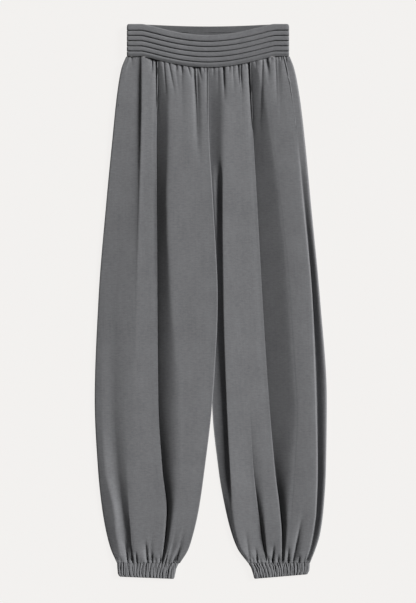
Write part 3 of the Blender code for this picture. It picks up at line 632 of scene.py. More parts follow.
def ramp_points(x, room_before, width, room_after, level, rise, shape, slot):
    """A long fold: the cloth's low side, a slot under its lip, and the ramp that climbs from it."""
    lead = min(9.0, 0.4 * room_before)      # where the low side turns down
    under = min(2.2, 0.25 * slot)           # how far the lip hangs over the slot
    nick = min((rise + slot) / 3.0, 1.0)    # how sharp the turn is: soft where the fold is low
    turn = level - 0.2 * nick
    points = [
        (x - lead, level + 0.1 * nick),
        (x - 0.35 * lead, level),
        (x - 0.5, level - 0.04 * slot),
        (x + 0.4 * under, turn - 0.34 * slot),
        (x - 1.1 * under, turn - slot),
    ]
    for share in RAMP_SHARES:
        climbed = 1 - (1 - share) ** shape
        points.append((x + share * width, level - slot + (rise + slot) * climbed))
    points.append((x + width + min(5.0, GATHER_ROOM * room_after), level + rise))
    return points


def gather_depth(row, drop):
    """How deep a gather is at a drop: deepest at the seam that gathers it, fading away from it."""
    from_top = (drop - STATIONS[0]) / row["top reach"]
    from_foot = (STATIONS[-1] - drop) / row["foot reach"]
    top = row["top"] * max(0.0, 1 - from_top) ** GATHER_FADE
    foot = row["foot"] * max(0.0, 1 - from_foot) ** GATHER_FADE
    return max(top, foot)


def gather_places(gathers, folds, fold_end, drop):
    """Each gather's x, depth and half width on a row."""
    spread = 1 + GATHER_WIDENS[2] * ease(*GATHER_WIDENS[:2], drop)
    spread -= GATHER_NARROWS[2] * ease(*GATHER_NARROWS[:2], drop)
    places = []
    for gather in gathers:
        row = dict(zip(GATHER_COLUMNS, gather))
        start = folds[row["after"]]
        if row["after"] == "long fold":
            start = fold_end
        x = mix(start, folds[row["before"]], row["across"])
        places.append((x, gather_depth(row, drop), row["half width"] * spread))
    return places


def gathered(section, places, folds_at, level_at, stops):
    """Adds gathers to a section, and the points of each long fold after the gather before it."""
    for x, depth, half in places:
        before = max(stop for stop in stops if stop < x - 0.01)
        after = min(stop for stop in stops if stop > x + 0.01)
        section += gather_points(x, half, x - before, after - x, depth, level_at)
        section += folds_at.pop(x, [])
    return section


def crease_points(x, room_before, level_at, level, bead):
    """The crisp crease: the cloth climbs to it more and more steeply, and it ends in a bead."""
    lead = min(12.0, 0.5 * room_before)
    return [
        (x - lead, level_at(x - lead)),
        (x - 0.5 * lead, mix(level_at(x - 0.5 * lead), level, 0.12)),
        (x - 0.2 * lead, mix(level_at(x - 0.2 * lead), level, 0.50)),
        (x - 0.5, level + 0.6 * bead),
        (x + 0.7, level + bead),
        (x + 4.5, level),
    ]


def right_front_section(drop):
    """Control points of the right leg's front, from its outer edge to its inner edge."""
    folds = at_drop(RIGHT_LEG, drop)
    heights = at_drop(RIGHT_HEIGHTS, drop)
    fold = at_drop(RIGHT_FOLD, drop)
    top = along_stations(RIDGE_HEIGHT, drop)
    inner_top = top - INNER_FALL
    outer, ridge_x, valley = (folds[name] for name in ("outer edge", "outer ridge", "side valley"))
    crease_x, fold_x, inner = (folds[name] for name in ("crisp crease", "long fold", "inner edge"))
    crest_x = fold_x + fold["width"]
    toe = top - fold["rise"]
    places = gather_places(RIGHT_GATHERS, folds, crest_x, drop)

    def level_at(x):
        if x < crease_x:
            share = max((x - outer) / (crease_x - outer), 0.0)
            early = 1 - (1 - share) ** EARLY_CLIMB
            climbed = mix(share ** LATE_CLIMB, early, heights["early slope"])
            before_climb = 1 - ease(*VALLEY_CLIMB, x - valley)
            stepped = heights["side step"] * before_climb * ease(ridge_x, valley - 4.0, x)
            bump = heights["outer ridge"] * min((x - outer) / (ridge_x - outer), 1.0)
            bump *= 1 - ease(ridge_x, valley, x)
            reached = heights["crisp crease"] - heights["crease step"]
            return mix(heights["outer edge"], reached, climbed) - stepped + bump
        if x < fold_x:
            return mix(heights["crisp crease"], toe, (x - crease_x) / (fold_x - crease_x))
        return mix(top, inner_top, (x - crest_x) / (inner - crest_x))

    beside = level_at(outer + SIDE_REACH)
    outer_side = side_fold(outer, 1, heights["outer edge"], places[0][0] - outer, 0.0, beside)
    inner_side = side_fold(inner, -1, inner_top, inner - places[-1][0], 0.0, inner_top)
    turned = morphed(LEANING_EDGE, BULGING_EDGE, ease(*INNER_BULGE, drop))
    inner_side[1:4] = [(inner + over, mix(FOOT, inner_top, up)) for over, up in turned]
    stops = [outer_side[-1][0], crease_x, fold_x, crest_x, inner_side[-1][0]]
    stops += [place[0] for place in places]
    crease = crease_points(crease_x, crease_x - places[0][0], level_at,
                           heights["crisp crease"], heights["crease bead"])
    ramp = ramp_points(fold_x, fold_x - places[1][0], fold["width"], places[2][0] - crest_x,
                       toe, fold["rise"], fold["shape"], fold["slot"])
    added = {places[0][0]: crease, places[1][0]: ramp}

    # The outer ridge is kept between the side fold and the gather that lies in the side valley
    low = outer_side[-1][0]
    high = valley - min(GATHER_SIDES[0] * places[0][2], GATHER_ROOM * (valley - low)) - 0.3
    wanted = (mix(low, ridge_x, 0.5), ridge_x - RIDGE_ROUND, ridge_x + RIDGE_ROUND,
              mix(ridge_x, valley, 0.6))
    outer_xs = [min(max(x, low + 0.3), high) for x in wanted]
    section = outer_side + [(x, level_at(x)) for x in outer_xs]
    return gathered(section, places, added, level_at, stops) + inner_side[::-1]


def pinch(u, soft):
    """The profile of a crease: 1 in its middle, and rounder there where soft is larger."""
    return np.exp(soft - np.sqrt(u * u + soft * soft))


def creased(xs, from_seam, creases):
    """How deep the creases that run from a seam are at xs, on a row so far from the seam."""
    depths = np.zeros(len(xs))
    for crease in creases:
        row = dict(zip(CREASE_COLUMNS, crease))
        gone = from_seam / row["reach"]
        if gone >= 1:
            continue
        x = mix(row["x at seam"], row["x at end"], gone)
        half = row["half width"] * (1 + CREASE_SPREAD * gone)
        side = np.where(xs < x, 1 + row["lean"], 1 - row["lean"])
        u = (xs - x) / (half * side)
        pressed = CREASE_FORCE * row["depth"] * (1 - gone) ** CREASE_FADE
        depths += pressed * pinch(u, mix(*CREASE_SOFT, gone))
    return depths


def puckers(sizes, seed):
    """Small gathers along a seam: each one's place across, drift, reach and depth."""
    draw = random.Random(seed)
    count, reach, depth = sizes
    found = []
    for i in range(count):
        share = (i + 0.5 + draw.uniform(-PUCKER_SCATTER, PUCKER_SCATTER)) / count
        drift = draw.uniform(-PUCKER_DRIFT, PUCKER_DRIFT)
        own_reach = reach * draw.uniform(*PUCKER_REACHES)
        own_depth = depth * draw.uniform(*PUCKER_DEPTHS)
        found.append((share, drift, own_reach, own_depth))
    return found


def puckered(xs, first, last, from_seam, found):
    """How deep the small gathers are at xs, on a row between two edges so far from the seam."""
    depths = np.zeros(len(xs))
    for share, drift, reach, depth in found:
        gone = from_seam / reach
        if gone >= 1:
            continue
        x = mix(first, last, share + drift * gone)
        u = (xs - x) / (PUCKER_HALF_WIDTH * (1 + PUCKER_SPREAD * gone))
        depths += depth * (1 - gone) ** PUCKER_FADE * pinch(u, mix(*PUCKER_SOFT, gone))
    return depths


def gather_lines(xs, places, share_down, seed):
    """How deep the fine gathers of a cuff are at xs, on a row so far down it."""
    depths = np.zeros(len(xs))
    for i, (x, depth) in enumerate(places):
        sway = CUFF_LINE_SWAY * noise.noise((i * 3.1, share_down * 1.6, seed))
        varied = depth * (0.95 + 0.8 * noise.noise((i * 1.7, share_down * 2.3, seed + 5)))
        u = (xs - x - sway) / CUFF_LINE_WIDTH
        depths = np.maximum(depths, varied * pinch(u, CUFF_LINE_SOFT))
    return depths + CUFF_RIPPLE * uneven(xs, share_down, (0.52, 1.1), seed + 9)


def leg_cloth(section_of, edges, creases, small_gathers, cuff_lines, seed):
    """Outside and inside of a front panel: its sections, with creases and puckers pressed in.

    creases and small_gathers hold two sets each, those at the band and those at the cuff.
    """
    rows = leg_rows()
    sections = [section_of(drop) for drop in rows]
    steps = cut_to(sections, LEG_SPACING)
    outside = []
    inside = []
    for drop, section in zip(rows, sections):
        curve = flowing(section, steps)
        out = outward(curve)
        xs = curve[:, 0]
        first, last = (along_stations(edge, drop) for edge in edges)
        under_band = drop - rows[0]
        over_cuff = rows[-1] - drop
        depth = creased(xs, under_band, creases[0]) + creased(xs, over_cuff, creases[1])
        depth += puckered(xs, first, last, under_band, small_gathers[0])
        depth += puckered(xs, first, last, over_cuff, small_gathers[1])
        depth += SEAM_DITCH[0] * math.exp(-under_band / SEAM_DITCH[1])
        at_cuff = 1 - ease(0, CUFF_BLEND, over_cuff)
        if at_cuff > 0:
            from_cuff = gather_lines(xs, cuff_lines, 0.0, seed) * at_cuff
            depth = np.maximum(depth * (1 - 0.4 * at_cuff), from_cuff)
        swell = CLOTH_SWELL * uneven(xs, drop, (0.016, 0.005), seed)
        depth -= swell * ease(*SWELL_FROM_BAND, under_band) * ease(*SWELL_FROM_CUFF, over_cuff)
        facing_up = np.clip(out[:, 1], 0, 1) ** 2
        level = mix(curve[:, 1], CUFF_TOP, at_cuff * facing_up)
        level += PUFF_RISE * np.sin(math.pi * ease(0, PUFF_REACH, over_cuff)) * facing_up
        curve[:, 1] = level
        curve = curve - np.stack([np.zeros(len(xs)), depth * facing_up], axis=1)
        curve[:, 1] = np.maximum(curve[:, 1], FOOT)
        lined = curve - outward(curve) * LEG_WALL
        lined[:, 1] = np.maximum(lined[:, 1], BACK_WALL + 0.5 * SEAM_GAP)
        ys = LENGTH / 2 - leg_drop(xs, drop, FRONT_DIP)
        outside.append(row_of(xs, ys, curve[:, 1]))
        inside.append(row_of(lined[:, 0], ys, lined[:, 1]))
    return np.array(outside), np.array(inside)


# The cuff's fine gathers, which start in the leg: x and depth. Leg and cuff share a seed, so that
# they run on from the one into the other
RIGHT_CUFF_LINES = (
    (-168.4, 1.6), (-162.9, 1.9), (-155.4, 1.4), (-151.7, 1.4), (-144.3, 1.8), (-136.9, 2.3),
    (-131.3, 1.6), (-125.7, 1.8), (-119.3, 2.2), (-110.9, 1.9), (-103.5, 1.0), (-96.1, 2.1),
    (-90.5, 2.2), (-84.9, 1.9), (-78.4, 1.3), (-73.8, 2.3), (-68.2, 1.5),
)
RIGHT_SEED = 2.0
right_front = lay("right_leg_front", *leg_cloth(
    right_front_section,
    (RIGHT_LEG["outer edge"], RIGHT_LEG["inner edge"]),
    (RIGHT_TOP_CREASES, RIGHT_FOOT_CREASES),
    (puckers(BAND_PUCKERS, 5), puckers(CUFF_PUCKERS, 11)),
    RIGHT_CUFF_LINES,
    RIGHT_SEED,
))
right_front_jersey = jersey("right leg front jersey", 52.0)
dress(right_front, "front_right_leg", right_front_jersey)


# The front of the left leg: a panel like the right one, whose inner edge lies low in a crevice
# beside it. A double fold in the shape of a V, a wide fold and a lip at its side run down it.
LEFT_LEG = {
    "inner edge":  (-3.9, -3.9, -3.5, -2.9, 3.2, 11.9, 2.7, 14.6, 27.6, 39.4, 50.2, 69.3),
    "crevice lip": (25.5, 25.5, 24.6, 23.3, 21.4, 23.1, 29.2, 35.7, 41.3, 48.4, 58.0, 77.0),
    "v fold":      (54.3, 54.3, 56.1, 58.0, 60.8, 66.4, 71.9, 79.3, 88.3, 94.7, 98.8, 103.5),
    "long fold":   (73.4, 74.0, 75.6, 79.3, 85.8, 96.0,
                    108.1, 119.2, 128.5, 131.9, 132.0, 131.3),
    "side gather": (123.9, 124.4, 126.7, 130.4, 141.5, 163.8,
                    173.1, 172.1, 169.4, 162.5, 158.2, 153.6),
    "side lip":    (136.0, 141.0, 149.5, 160.0, 171.0, 188.0,
                    195.0, 197.6, 195.3, 189.2, 183.4, 174.0),
    "outer edge":  (146.7, 154.9, 164.3, 174.6, 185.3, 203.1,
                    215.6, 213.9, 209.3, 202.8, 194.5, 184.3),
}
# The long fold's ramp as on the right leg. Late rise is how far the cloth still climbs beyond it
LEFT_FOLD = {
    "width": (10.0, 15.0, 24.0, 33.0, 41.0, 48.0, 48.0, 32.0, 17.0, 11.0, 8.0, 5.5),
    "rise": (2.6, 5.0, 8.4, 11.6, 13.0, 14.8, 15.0, 11.6, 7.6, 4.4, 3.0, 1.8),
    "shape": (1.0, 1.0, 1.1, 1.2, 1.1, 1.1, 1.1, 1.6, 2.4, 2.5, 2.0, 1.4),
    "late rise": (0.2, 0.4, 0.8, 1.4, 1.8, 2.0, 2.0, 2.0, 1.4, 0.8, 0.4, 0.2),
    "slot": (0.4, 0.6, 0.6, 0.2, 0.0, 0.0, 0.0, 2.4, 8.0, 9.4, 7.4, 2.6),
}
# Heights of the crevice's floor, of its far side and of the pocket and the ridge beyond the side
# lip. The floor rises under the lip, and the V fold has a step, a slot and a ramp of its own
LEFT_HEIGHTS = {
    "crevice floor": (9.4, 6.6, 4.8, 4.2, 4.2, 3.8, 2.6, 2.8, 4.4, 5.6, 6.4, 7.0),
    "floor rise":    (0.0, 0.0, 0.0, 0.0, 0.0, 0.6, 6.0, 5.2, 2.0, 0.8, 0.2, 0.0),
    "crevice crest": (10.4, 11.0, 11.8, 12.8, 13.4, 13.6, 13.8, 12.8, 9.8, 8.8, 8.4, 8.2),
    "v step":        (0.0, 0.0, 0.0, 0.0, 0.0, 0.0, 0.2, 2.2, 5.6, 6.4, 4.4, 0.8),
    "v slot":        (1.6, 1.2, 0.4, 0.0, 0.0, 0.0, 0.0, 0.2, 1.6, 3.6, 3.4, 1.4),
    "v width":       (8.0, 8.0, 8.0, 8.0, 10.0, 12.0, 18.0, 19.0, 13.0, 8.5, 6.5, 5.0),
    "side pocket":   (10.5, 13.0, 16.6, 20.3, 15.0, 4.2, 3.2, 3.2, 3.4, 4.2, 5.0, 5.0),
    "side ridge":    (10.3, 12.7, 16.3, 19.8, 18.4, 12.8, 12.5, 12.5, 11.8, 10.8, 9.5, 8.0),
}
CREVICE_STEEP = (240.0, 330.0)  # drops over which its soft slope becomes a lip that hangs over it
CREVICE_SOFT = (835.0, 900.0)   # and over which the lip becomes a soft slope again
CROTCH = (345.0, 425.0)    # where the centre seam parts into two inseams
SIDE_FALL = 0.9            # from the highest cloth to the lip at the side
LATE_SHAPE = 1.6           # how soon the late rise is climbed
V_SHAPE = 2.3              # as the long fold's shape
V_FLAT = (0.0, 3.0)        # steps over which the cloth before the V fold turns level
LEFT_GATHERS = (
    ("long fold", "side gather", 0.40, 1.6, 60, 1.6, 34, 4.0),
    ("side gather", "side gather", 0.0, 2.0, 130, 3.2, 110, 4.6),
)
LEFT_TOP_CREASES = (
    (5.0, 5.0, 24, 1.2, 1.3, 0.0),
    (13.5, 14.0, 90, 0.9, 2.2, 0.0),
    (23.6, 26.0, 90, 3.2, 1.6, 0.3),
    (34.0, 34.5, 16, 1.2, 1.2, 0.0),
    (40.8, 44.5, 74, 1.0, 1.6, 0.0),
    (50.6, 51.0, 36, 2.2, 1.3, 0.2),
    (54.6, 59.0, 80, 2.0, 1.5, 0.2),
    (70.8, 78.0, 160, 3.6, 1.8, 0.4),
    (83.0, 84.0, 16, 1.6, 1.2, 0.0),
    (96.5, 91.0, 150, 1.9, 1.9, 0.3),
    (103.8, 108.5, 38, 3.0, 1.3, 0.2),
    (112.0, 112.5, 14, 1.4, 1.2, 0.0),
    (120.2, 123.0, 95, 2.3, 1.6, 0.2),
    (130.0, 130.5, 14, 1.2, 1.2, 0.0),
    (139.0, 141.0, 40, 1.2, 1.4, 0.1),
)
LEFT_FOOT_CREASES = (
    (73.0, 64.0, 70, 1.7, 1.9, 0.2),
    (79.4, 77.0, 14, 2.0, 1.2, 0.0),
    (86.5, 83.5, 30, 3.4, 1.3, 0.3),
    (92.5, 91.0, 14, 1.6, 1.1, 0.0),
    (106.6, 106.0, 14, 2.6, 1.2, 0.0),
    (114.5, 117.5, 36, 5.0, 1.5, 0.4),
    (125.0, 126.0, 18, 2.6, 1.2, 0.2),
    (143.4, 144.5, 32, 4.6, 1.4, 0.4),
    (152.0, 168.0, 84, 4.2, 1.5, 0.4),
    (163.0, 165.0, 15, 2.2, 1.2, 0.0),
    (173.0, 177.0, 20, 2.0, 1.2, 0.2),
)


def crevice_points(edge, lip, floor, rise, crest, steep, parted):
    """The crevice beside the centre seam: its floor, and the slope or the lip at its far side.

    The floor is flat where the centre seam joins the legs, and where they are parted, below the
    crotch, it turns down into the inseam. Where it is steep, the far side hangs over it.
    """
    gap = lip - edge
    third_x = edge + min(0.15 * gap, 2.4)
    widest = widest_x(edge, edge + TUCK_UNDER, third_x)
    joined = [
        (edge, floor),
        (edge + 0.10 * gap, mix(floor, crest, 0.06)),
        (edge + 0.24 * gap, mix(floor, crest, 0.20)),
    ]
    turned = [(edge + TUCK_UNDER, FOOT), (widest, mix(FOOT, floor, 0.5)), (third_x, floor)]
    slope = [
        (edge + 0.40 * gap, mix(floor, crest, 0.38)),
        (edge + 0.56 * gap, mix(floor, crest, 0.57)),
        (edge + 0.72 * gap, mix(floor, crest, 0.77)),
        (edge + 0.86 * gap, mix(floor, crest, 0.95)),
        (lip + 0.2, crest + 0.1),
        (lip + 3.0, crest + 0.2),
    ]
    risen = floor + rise
    overhang = [
        (edge + 0.55 * gap, floor + 0.5 * rise),
        (lip + 0.5, mix(risen, crest, 0.02)),
        (lip + 1.0, mix(risen, crest, 0.40)),
        (lip - 0.3, mix(risen, crest, 0.80)),
        (lip - 0.2, crest + 0.2),
        (lip + 1.4, crest + 0.3),
    ]
    return morphed(joined, turned, parted) + morphed(slope, overhang, steep)


def side_lip_points(lip, outer, room_before, level, pocket, ridge):
    """The lip at the leg's side, the pocket beside it, and the ramp up to the outer side fold."""
    strip = outer - lip
    third_x = outer - 0.04 * strip
    widest = widest_x(outer, outer - TUCK_UNDER, third_x)
    return [
        (lip - min(7.0, 0.35 * room_before), level + 0.3),
        (lip - 1.9, level),
        (lip - 0.1, level - 0.7 * min((level - pocket) / 3.0, 1.0)),
        (lip + 0.6, mix(level, pocket, 0.40)),
        (lip + 0.2, mix(level, pocket, 0.94)),
        (lip + 0.14 * strip, pocket - 0.2),
        (lip + 0.36 * strip, mix(pocket, ridge, 0.45)),
        (lip + 0.62 * strip, mix(pocket, ridge, 0.84)),
        (lip + 0.86 * strip, ridge),
        (third_x, mix(FOOT, ridge, 0.84)),
        (widest, mix(FOOT, ridge, 0.40)),
        (outer - TUCK_UNDER, FOOT),
    ]


def left_front_section(drop):
    """Control points of the left leg's front, from its inner edge to its outer edge."""
    folds = at_drop(LEFT_LEG, drop)
    heights = at_drop(LEFT_HEIGHTS, drop)
    fold = at_drop(LEFT_FOLD, drop)
    edge = max(folds["inner edge"], along_stations(RIGHT_LEG["inner edge"], drop) + SEAM_GAP)
    top = along_stations(RIDGE_HEIGHT, drop)
    lip, v_x = folds["crevice lip"], folds["v fold"]
    fold_x, side_lip = folds["long fold"], folds["side lip"]
    crest_x = fold_x + fold["width"]
    toe = top - fold["rise"] - fold["late rise"]
    crest = heights["crevice crest"]
    v_step = heights["v step"]
    places = gather_places(LEFT_GATHERS, folds, crest_x, drop)

    def slope_at(x):
        sloping = mix(crest, toe, (x - lip) / (fold_x - lip))
        return mix(sloping, toe, ease(*V_FLAT, v_step)) - v_step

    def level_at(x):
        share = (x - crest_x) / (side_lip - crest_x)
        return top - fold["late rise"] * (1 - share) ** LATE_SHAPE - SIDE_FALL * share ** 3

    parted = ease(*CROTCH, drop)
    steep = ease(*CREVICE_STEEP, drop) * (1 - ease(*CREVICE_SOFT, drop))
    section = crevice_points(edge, lip, heights["crevice floor"], heights["floor rise"],
                             crest, steep, parted)
    stops = [section[-1][0], crest_x, side_lip] + [place[0] for place in places]
    v_width = min(heights["v width"], 0.6 * (fold_x - v_x))
    v_room = fold_x - v_x - v_width
    v_ramp = ramp_points(v_x, v_x - lip - 3.0, v_width, v_room,
                         0.0, v_step, V_SHAPE, heights["v slot"])
    section += [(x, slope_at(x) + raised) for x, raised in v_ramp]
    section += ramp_points(fold_x, v_room, fold["width"], places[0][0] - crest_x,
                           toe, fold["rise"], fold["shape"], fold["slot"])
    section = gathered(section, places, {}, level_at, stops)
    return section + side_lip_points(side_lip, folds["outer edge"], side_lip - places[-1][0],
                                     top - SIDE_FALL, heights["side pocket"], heights["side ridge"])


# The left cuff's fine gathers, and the seed that leg and cuff share
LEFT_CUFF_LINES = (
    (79.3, 2.3), (83.1, 1.6), (87.7, 1.6), (93.3, 2.0), (100.7, 2.3), (106.3, 1.2), (112.7, 2.1),
    (116.5, 1.5), (123.0, 2.1), (126.7, 1.9), (131.3, 1.2), (135.0, 1.4), (138.7, 2.1),
    (143.4, 2.0), (146.2, 1.5), (152.7, 2.1), (159.2, 2.3), (164.7, 1.8), (173.1, 1.8),
    (176.8, 1.4),
)
LEFT_SEED = 6.0
left_front = lay("left_leg_front", *leg_cloth(
    left_front_section,
    (LEFT_LEG["inner edge"], LEFT_LEG["outer edge"]),
    (LEFT_TOP_CREASES, LEFT_FOOT_CREASES),
    (puckers(BAND_PUCKERS, 7), puckers(CUFF_PUCKERS, 13)),
    LEFT_CUFF_LINES,
    LEFT_SEED,
))
left_front_jersey = jersey("left leg front jersey", 77.0)
dress(left_front, "front_left_leg", left_front_jersey)


# The backs of the legs: two panels that lie flat on the ground under the fronts. They are sewn to
# them at the side and inner folds, and are gathered a little into the band and the cuffs.
LEG_BACK_COLUMNS = 130
LEG_BACK_LIFT = 1.6        # the most that a small gather lifts it off the ground
BACK_PUCKERS = (17, 60.0, 0.9)         # number, reach and depth at the band
BACK_FOOT_PUCKERS = (14, 34.0, 0.9)    # and at the cuff


def back_edges(drop):
    """Right outer, right inner, left inner and left outer edge of the backs on a row."""
    right = at_drop(RIGHT_LEG, drop)
    left = at_drop(LEFT_LEG, drop)
    right_outer = right["outer edge"] + TUCK_UNDER
    right_inner = right["inner edge"] - TUCK_UNDER
    left_outer = left["outer edge"] - TUCK_UNDER
    own_edge = max(left["inner edge"], right["inner edge"] + SEAM_GAP)
    parted = ease(*CROTCH, drop)
    left_inner = mix(right_inner + SEAM_GAP, own_edge + TUCK_UNDER, parted)
    return right_outer, right_inner, left_inner, left_outer


def back_cloth(first, last, seed):
    """Inside (facing up) and outside (facing the ground) of a back panel."""
    rows = leg_rows()[::2]
    rows[-1] = CUFF_DROP
    top_puckers = puckers(BACK_PUCKERS, seed)
    foot_puckers = puckers(BACK_FOOT_PUCKERS, seed + 1)
    above = []
    below = []
    for drop in rows:
        edges = back_edges(drop)
        xs = np.linspace(edges[first], edges[last], LEG_BACK_COLUMNS)
        depth = puckered(xs, xs[0], xs[-1], drop - rows[0], top_puckers)
        depth += puckered(xs, xs[0], xs[-1], rows[-1] - drop, foot_puckers)
        lift = np.minimum(depth, LEG_BACK_LIFT) * ease(0, 6, from_ends(xs))
        ys = LENGTH / 2 - leg_drop(xs, drop, BACK_DIP)
        above.append(row_of(xs, ys, BACK_WALL + 0.8 * lift))
        below.append(row_of(xs, ys, lift * 0.9))
    return np.array(above), np.array(below)


right_back = lay("right_leg_back", *back_cloth(0, 1, 21))
right_back_jersey = jersey("right leg back jersey", 103.0)
dress(right_back, "back_right_leg", right_back_jersey)
left_back = lay("left_leg_back", *back_cloth(2, 3, 25))
left_back_jersey = jersey("left leg back jersey", 128.0)
dress(left_back, "back_left_leg", left_back_jersey)


# The cuffs: a short tube of jersey folded double over an elastic, which draws it into fine upright
# gathers. It lies flat as a ring, and the left hem slopes up towards its outer side.
CUFF_LOFT = 9.0
CUFF_WALL = 2.6
# Drop, and the xs of the outer and the inner side
RIGHT_CUFF = (
    (1000.9, -174.2, -58.8), (1010.0, -173.6, -63.8), (1021.0, -172.6, -66.6),
    (1026.0, -169.6, -68.0),
)
RIGHT_CUFF_TILT = -0.041
LEFT_CUFF = (
    (1000.9, 184.2, 69.4), (1010.0, 184.0, 75.0), (1022.0, 183.2, 78.8),
    (1030.0, 180.2, 80.8),
)
LEFT_CUFF_TILT = 0.085
# The rows of a cuff, closer together at the leg and at the hem
CUFF_SHARES = (0.0, 0.012, 0.035, *np.linspace(0.07, 0.93, 20), 0.965, 0.988, 1.0)
CUFF_SPACING = 0.62
CUFF_UNDER_SHARE = 0.45    # how deep the gathers are underneath, where the ground presses them
CUFF_EDGE_ROLL = (0.35, 1.0)   # how far the cloth rounds down at the leg and at the hem
CUFF_ROLL_REACH = 0.03         # and how soon, as a share of the cuff's depth


def cuff_ring(first, last):
    """The plain section of a flattened ring, from its first side over the top and back under."""
    middle = CUFF_LOFT / 2
    points = [(first, middle), (first + 0.5, middle + 2.6)]
    points += [(first + 2.4, CUFF_LOFT - 0.7), (first + 6.0, CUFF_LOFT)]
    points += [(mix(first, last, share), CUFF_LOFT) for share in (0.25, 0.5, 0.75)]
    points += [(last - 6.0, CUFF_LOFT), (last - 2.4, CUFF_LOFT - 0.7)]
    points += [(last - 0.5, middle + 2.6), (last, middle), (last - 0.5, middle - 2.6)]
    points += [(last - 2.4, 0.7), (last - 6.0, 0.0)]
    points += [(mix(first, last, share), 0.0) for share in (0.75, 0.5, 0.25)]
    points += [(first + 6.0, 0.0), (first + 2.4, 0.7), (first + 0.5, middle - 2.6), (first, middle)]
    return points


def cuff_cloth(table, tilt, lines, seed):
    """Outside and inside of a cuff: gather lines round a flattened ring, over a plain inside."""
    drops, outers, inners = zip(*table)
    row_drops = [mix(drops[0], drops[-1], share) for share in CUFF_SHARES]
    sides = [np.interp(row_drops, drops, side) for side in (outers, inners)]
    ends = [sorted(pair) for pair in zip(*sides)]
    top_first, top_last = ends[0]
    rings = [cuff_ring(first, last) for first, last in ends]
    steps = cut_to(rings, CUFF_SPACING)
    middle = CUFF_LOFT / 2
    outside = []
    inside = []
    for share, drop, (first, last), ring in zip(CUFF_SHARES, row_drops, ends, rings):
        curve = flowing(ring, steps)
        curve[-1] = curve[0]
        out = outward(curve)
        out[0] = out[-1] = (-1.0, 0.0)
        across = [((x - top_first) / (top_last - top_first), depth) for x, depth in lines]
        places = [(mix(first, last, place), depth) for place, depth in across]
        depth = gather_lines(curve[:, 0], places, share, seed) * np.abs(out[:, 1]) ** 2
        depth *= np.where(curve[:, 1] > middle, 1.0, CUFF_UNDER_SHARE)
        for roll, from_edge in zip(CUFF_EDGE_ROLL, (share, 1 - share)):
            depth += roll * math.exp(-from_edge / CUFF_ROLL_REACH)
        lined = curve - out * CUFF_WALL
        curve = curve - out * depth[:, None]
        curve[-1] = curve[0]
        lined[-1] = lined[0]
        curve[:, 1] = np.maximum(curve[:, 1], 0.0)
        lined[:, 1] = np.clip(lined[:, 1], min(CUFF_WALL, middle), CUFF_LOFT - CUFF_WALL)
        slope = tilt * ease(0.0, 1.0, share)
        for grid, wall in ((outside, curve), (inside, lined)):
            ys = LENGTH / 2 - drop + slope * (wall[:, 0] - first)
            grid.append(row_of(wall[:, 0], ys, wall[:, 1]))
    return np.array(outside), np.array(inside)


right_tube = cuff_cloth(RIGHT_CUFF, RIGHT_CUFF_TILT, RIGHT_CUFF_LINES, RIGHT_SEED)
right_cuff = lay("right_cuff", *right_tube, ring=True)
right_cuff_jersey = jersey("right cuff jersey", 151.0)
dress(right_cuff, "cuff_right", right_cuff_jersey)
left_tube = cuff_cloth(LEFT_CUFF, LEFT_CUFF_TILT, LEFT_CUFF_LINES, LEFT_SEED)
left_cuff = lay("left_cuff", *left_tube, ring=True)
left_cuff_jersey = jersey("left cuff jersey", 170.0)
dress(left_cuff, "cuff_left", left_cuff_jersey)


# The ground: a plain, pale, matt surface that the trousers lie on. It glows a little by itself,
# so that it stays as pale beside the cloth as away from it.
GROUND_BELOW = 0.0004      # keeps it clear of the cloth
GROUND_SIZE = 12.0
GROUND_COLOUR = (0.03, 0.03, 0.03, 1.0)
GROUND_GLOW = (0.865, 0.850, 0.835, 1.0)

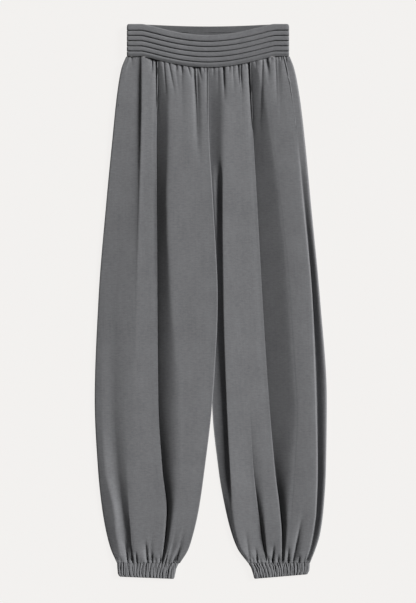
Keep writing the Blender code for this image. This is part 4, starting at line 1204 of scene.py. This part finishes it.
bm = bmesh.new()
bmesh.ops.create_grid(bm, x_segments=4, y_segments=4, size=GROUND_SIZE / 2)
ground_mesh = bpy.data.meshes.new("ground")
bm.to_mesh(ground_mesh)
bm.free()
ground = bpy.data.objects.new("ground", ground_mesh)
ground.location.z = -GROUND_BELOW
bpy.context.scene.collection.objects.link(ground)
paper = bpy.data.materials.new("pale ground")
paper.use_nodes = True
matt = paper.node_tree.nodes["Principled BSDF"]
matt.inputs["Base Color"].default_value = GROUND_COLOUR
matt.inputs["Roughness"].default_value = 1.0
matt.inputs["Specular IOR Level"].default_value = 0.0
matt.inputs["Emission Color"].default_value = GROUND_GLOW
matt.inputs["Emission Strength"].default_value = 1.0
ground_mesh.materials.append(paper)


# The studio: one very large soft light high on the right and the waist side, as even as the sky
# through a tall window, in a dim room.
KEY_AZIMUTH = 24.0
KEY_ELEVATION = 32.0
KEY_SOFTNESS = 19.0        # how wide the light looks from the cloth, in degrees
KEY_STRENGTH = 5.3
KEY_HEIGHT = 3.0
ROOM_COLOUR = (1.0, 1.0, 1.0, 1.0)
ROOM_BRIGHTNESS = 0.07

key = bpy.data.lights.new("key light", "SUN")
key.energy = KEY_STRENGTH
key.angle = math.radians(KEY_SOFTNESS)
stand = bpy.data.objects.new("key light", key)
stand.rotation_euler = (0.0, math.radians(90.0 - KEY_ELEVATION), math.radians(KEY_AZIMUTH))
stand.location.z = KEY_HEIGHT
bpy.context.scene.collection.objects.link(stand)

room = bpy.data.worlds.new("room")
room.use_nodes = True
walls = room.node_tree.nodes["Background"]
walls.inputs["Color"].default_value = ROOM_COLOUR
walls.inputs["Strength"].default_value = ROOM_BRIGHTNESS
bpy.context.scene.world = room
bpy.context.scene.view_settings.view_transform = "Standard"


# The camera: straight above the trousers, with the waist at the top of the picture.
CAMERA_HEIGHT = 5.0
VIEW_HEIGHT = 1.119        # of the ground in the picture, at the height of the cloth
CLOTH_HEIGHT = 0.010
CAMERA_X = -0.0051
SENSOR = 24.0

lens = bpy.data.cameras.new("camera")
lens.sensor_fit = "VERTICAL"
lens.sensor_height = SENSOR
lens.lens = SENSOR * (CAMERA_HEIGHT - CLOTH_HEIGHT) / VIEW_HEIGHT
lens.clip_end = 40.0
camera = bpy.data.objects.new("camera", lens)
camera.location = (CAMERA_X, 0.0, CAMERA_HEIGHT)
bpy.context.scene.collection.objects.link(camera)
bpy.context.scene.camera = camera
